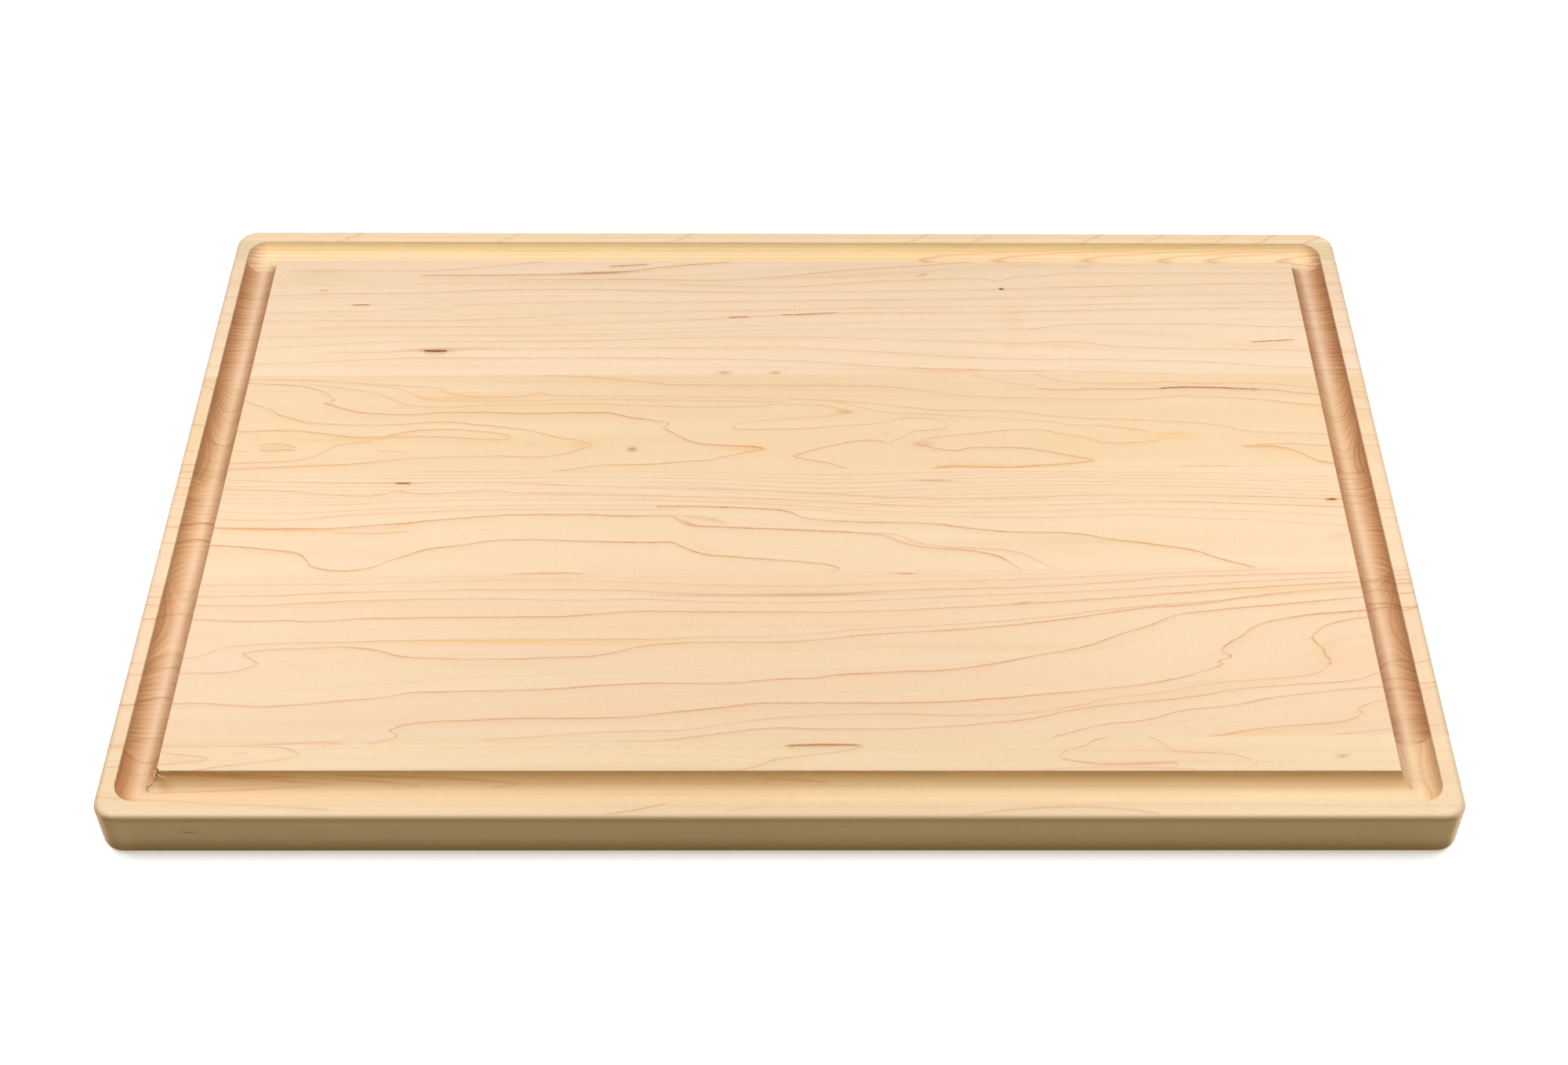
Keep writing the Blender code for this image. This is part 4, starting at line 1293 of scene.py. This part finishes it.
def make_lights():
    """Soft boxes over both ends of the board, a weak one in front, and the surround."""
    for side, name in ((-1, "left"), (1, "right")):
        make_light(name, (side * LIGHT_OUT, 0, LIGHT_HEIGHT), LIGHT_SIZE, LIGHT_POWER)
    make_light("fill", FILL_PLACE, FILL_SIZE, FILL_POWER)
    world = bpy.data.worlds.new("studio")
    world.use_nodes = True
    tree = world.node_tree
    background = tree.nodes["Background"]
    background.inputs["Color"].default_value = WHITE
    path = tree.nodes.new("ShaderNodeLightPath")
    level = tree.nodes.new("ShaderNodeMapRange")
    set_inputs(level, {"To Min": SURROUND_LIGHT, "To Max": SURROUND_SEEN})
    tree.links.new(path.outputs["Is Camera Ray"], level.inputs["Value"])
    tree.links.new(level.outputs[0], background.inputs["Strength"])
    bpy.context.scene.world = world
    bpy.context.scene.view_settings.view_transform = "Standard"
    bpy.context.scene.view_settings.look = "High Contrast"


# The camera stands in front of the board's middle and looks down on it.
CAMERA_PLACE = (6.98 * MM, -621.1 * MM, 649.7 * MM)
CAMERA_PITCH = math.radians(46.46)
CAMERA_YAW = math.radians(0.82)
CAMERA_ROLL = math.radians(0.654)
CAMERA_LENS = 54.2
CAMERA_SHIFT = -0.02686


def make_camera():
    """The camera at the photograph's angle."""
    data = bpy.data.cameras.new("camera")
    data.sensor_width = 36.0
    data.sensor_fit = "HORIZONTAL"
    data.lens = CAMERA_LENS
    data.shift_x = CAMERA_SHIFT
    data.clip_start = 0.01
    data.clip_end = 20
    item = bpy.data.objects.new("camera", data)
    item.location = CAMERA_PLACE
    forward = Vector((math.sin(CAMERA_YAW) * math.cos(CAMERA_PITCH),
                      math.cos(CAMERA_YAW) * math.cos(CAMERA_PITCH),
                      -math.sin(CAMERA_PITCH)))
    level = Vector((math.cos(CAMERA_YAW), -math.sin(CAMERA_YAW), 0))
    up = level.cross(forward)
    right = level * math.cos(CAMERA_ROLL) + up * math.sin(CAMERA_ROLL)
    upward = up * math.cos(CAMERA_ROLL) - level * math.sin(CAMERA_ROLL)
    turn = Matrix((right, upward, -forward)).transposed()
    item.rotation_euler = turn.to_euler()
    bpy.context.scene.collection.objects.link(item)
    bpy.context.scene.camera = item


# ---------------------------------------------------------------- putting it together
def put_in_frame(item, material, node):
    """Give a piece its one material, tie it to the frame and let it replace its CAD node."""
    item.data.materials.clear()
    item.data.materials.append(material)
    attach(item, "root")
    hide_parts(node)


def build():
    """Make every piece and put it in the frame."""
    staves, films = make_pieces()
    for number, stave in enumerate(staves, start=1):
        put_in_frame(stave, maple(number), "stave_" + str(number))
    film_material = glue()
    for number, film in enumerate(films, start=1):
        put_in_frame(film, film_material, "glue_line_" + str(number))


build()
make_stage()
make_lights()
make_camera()
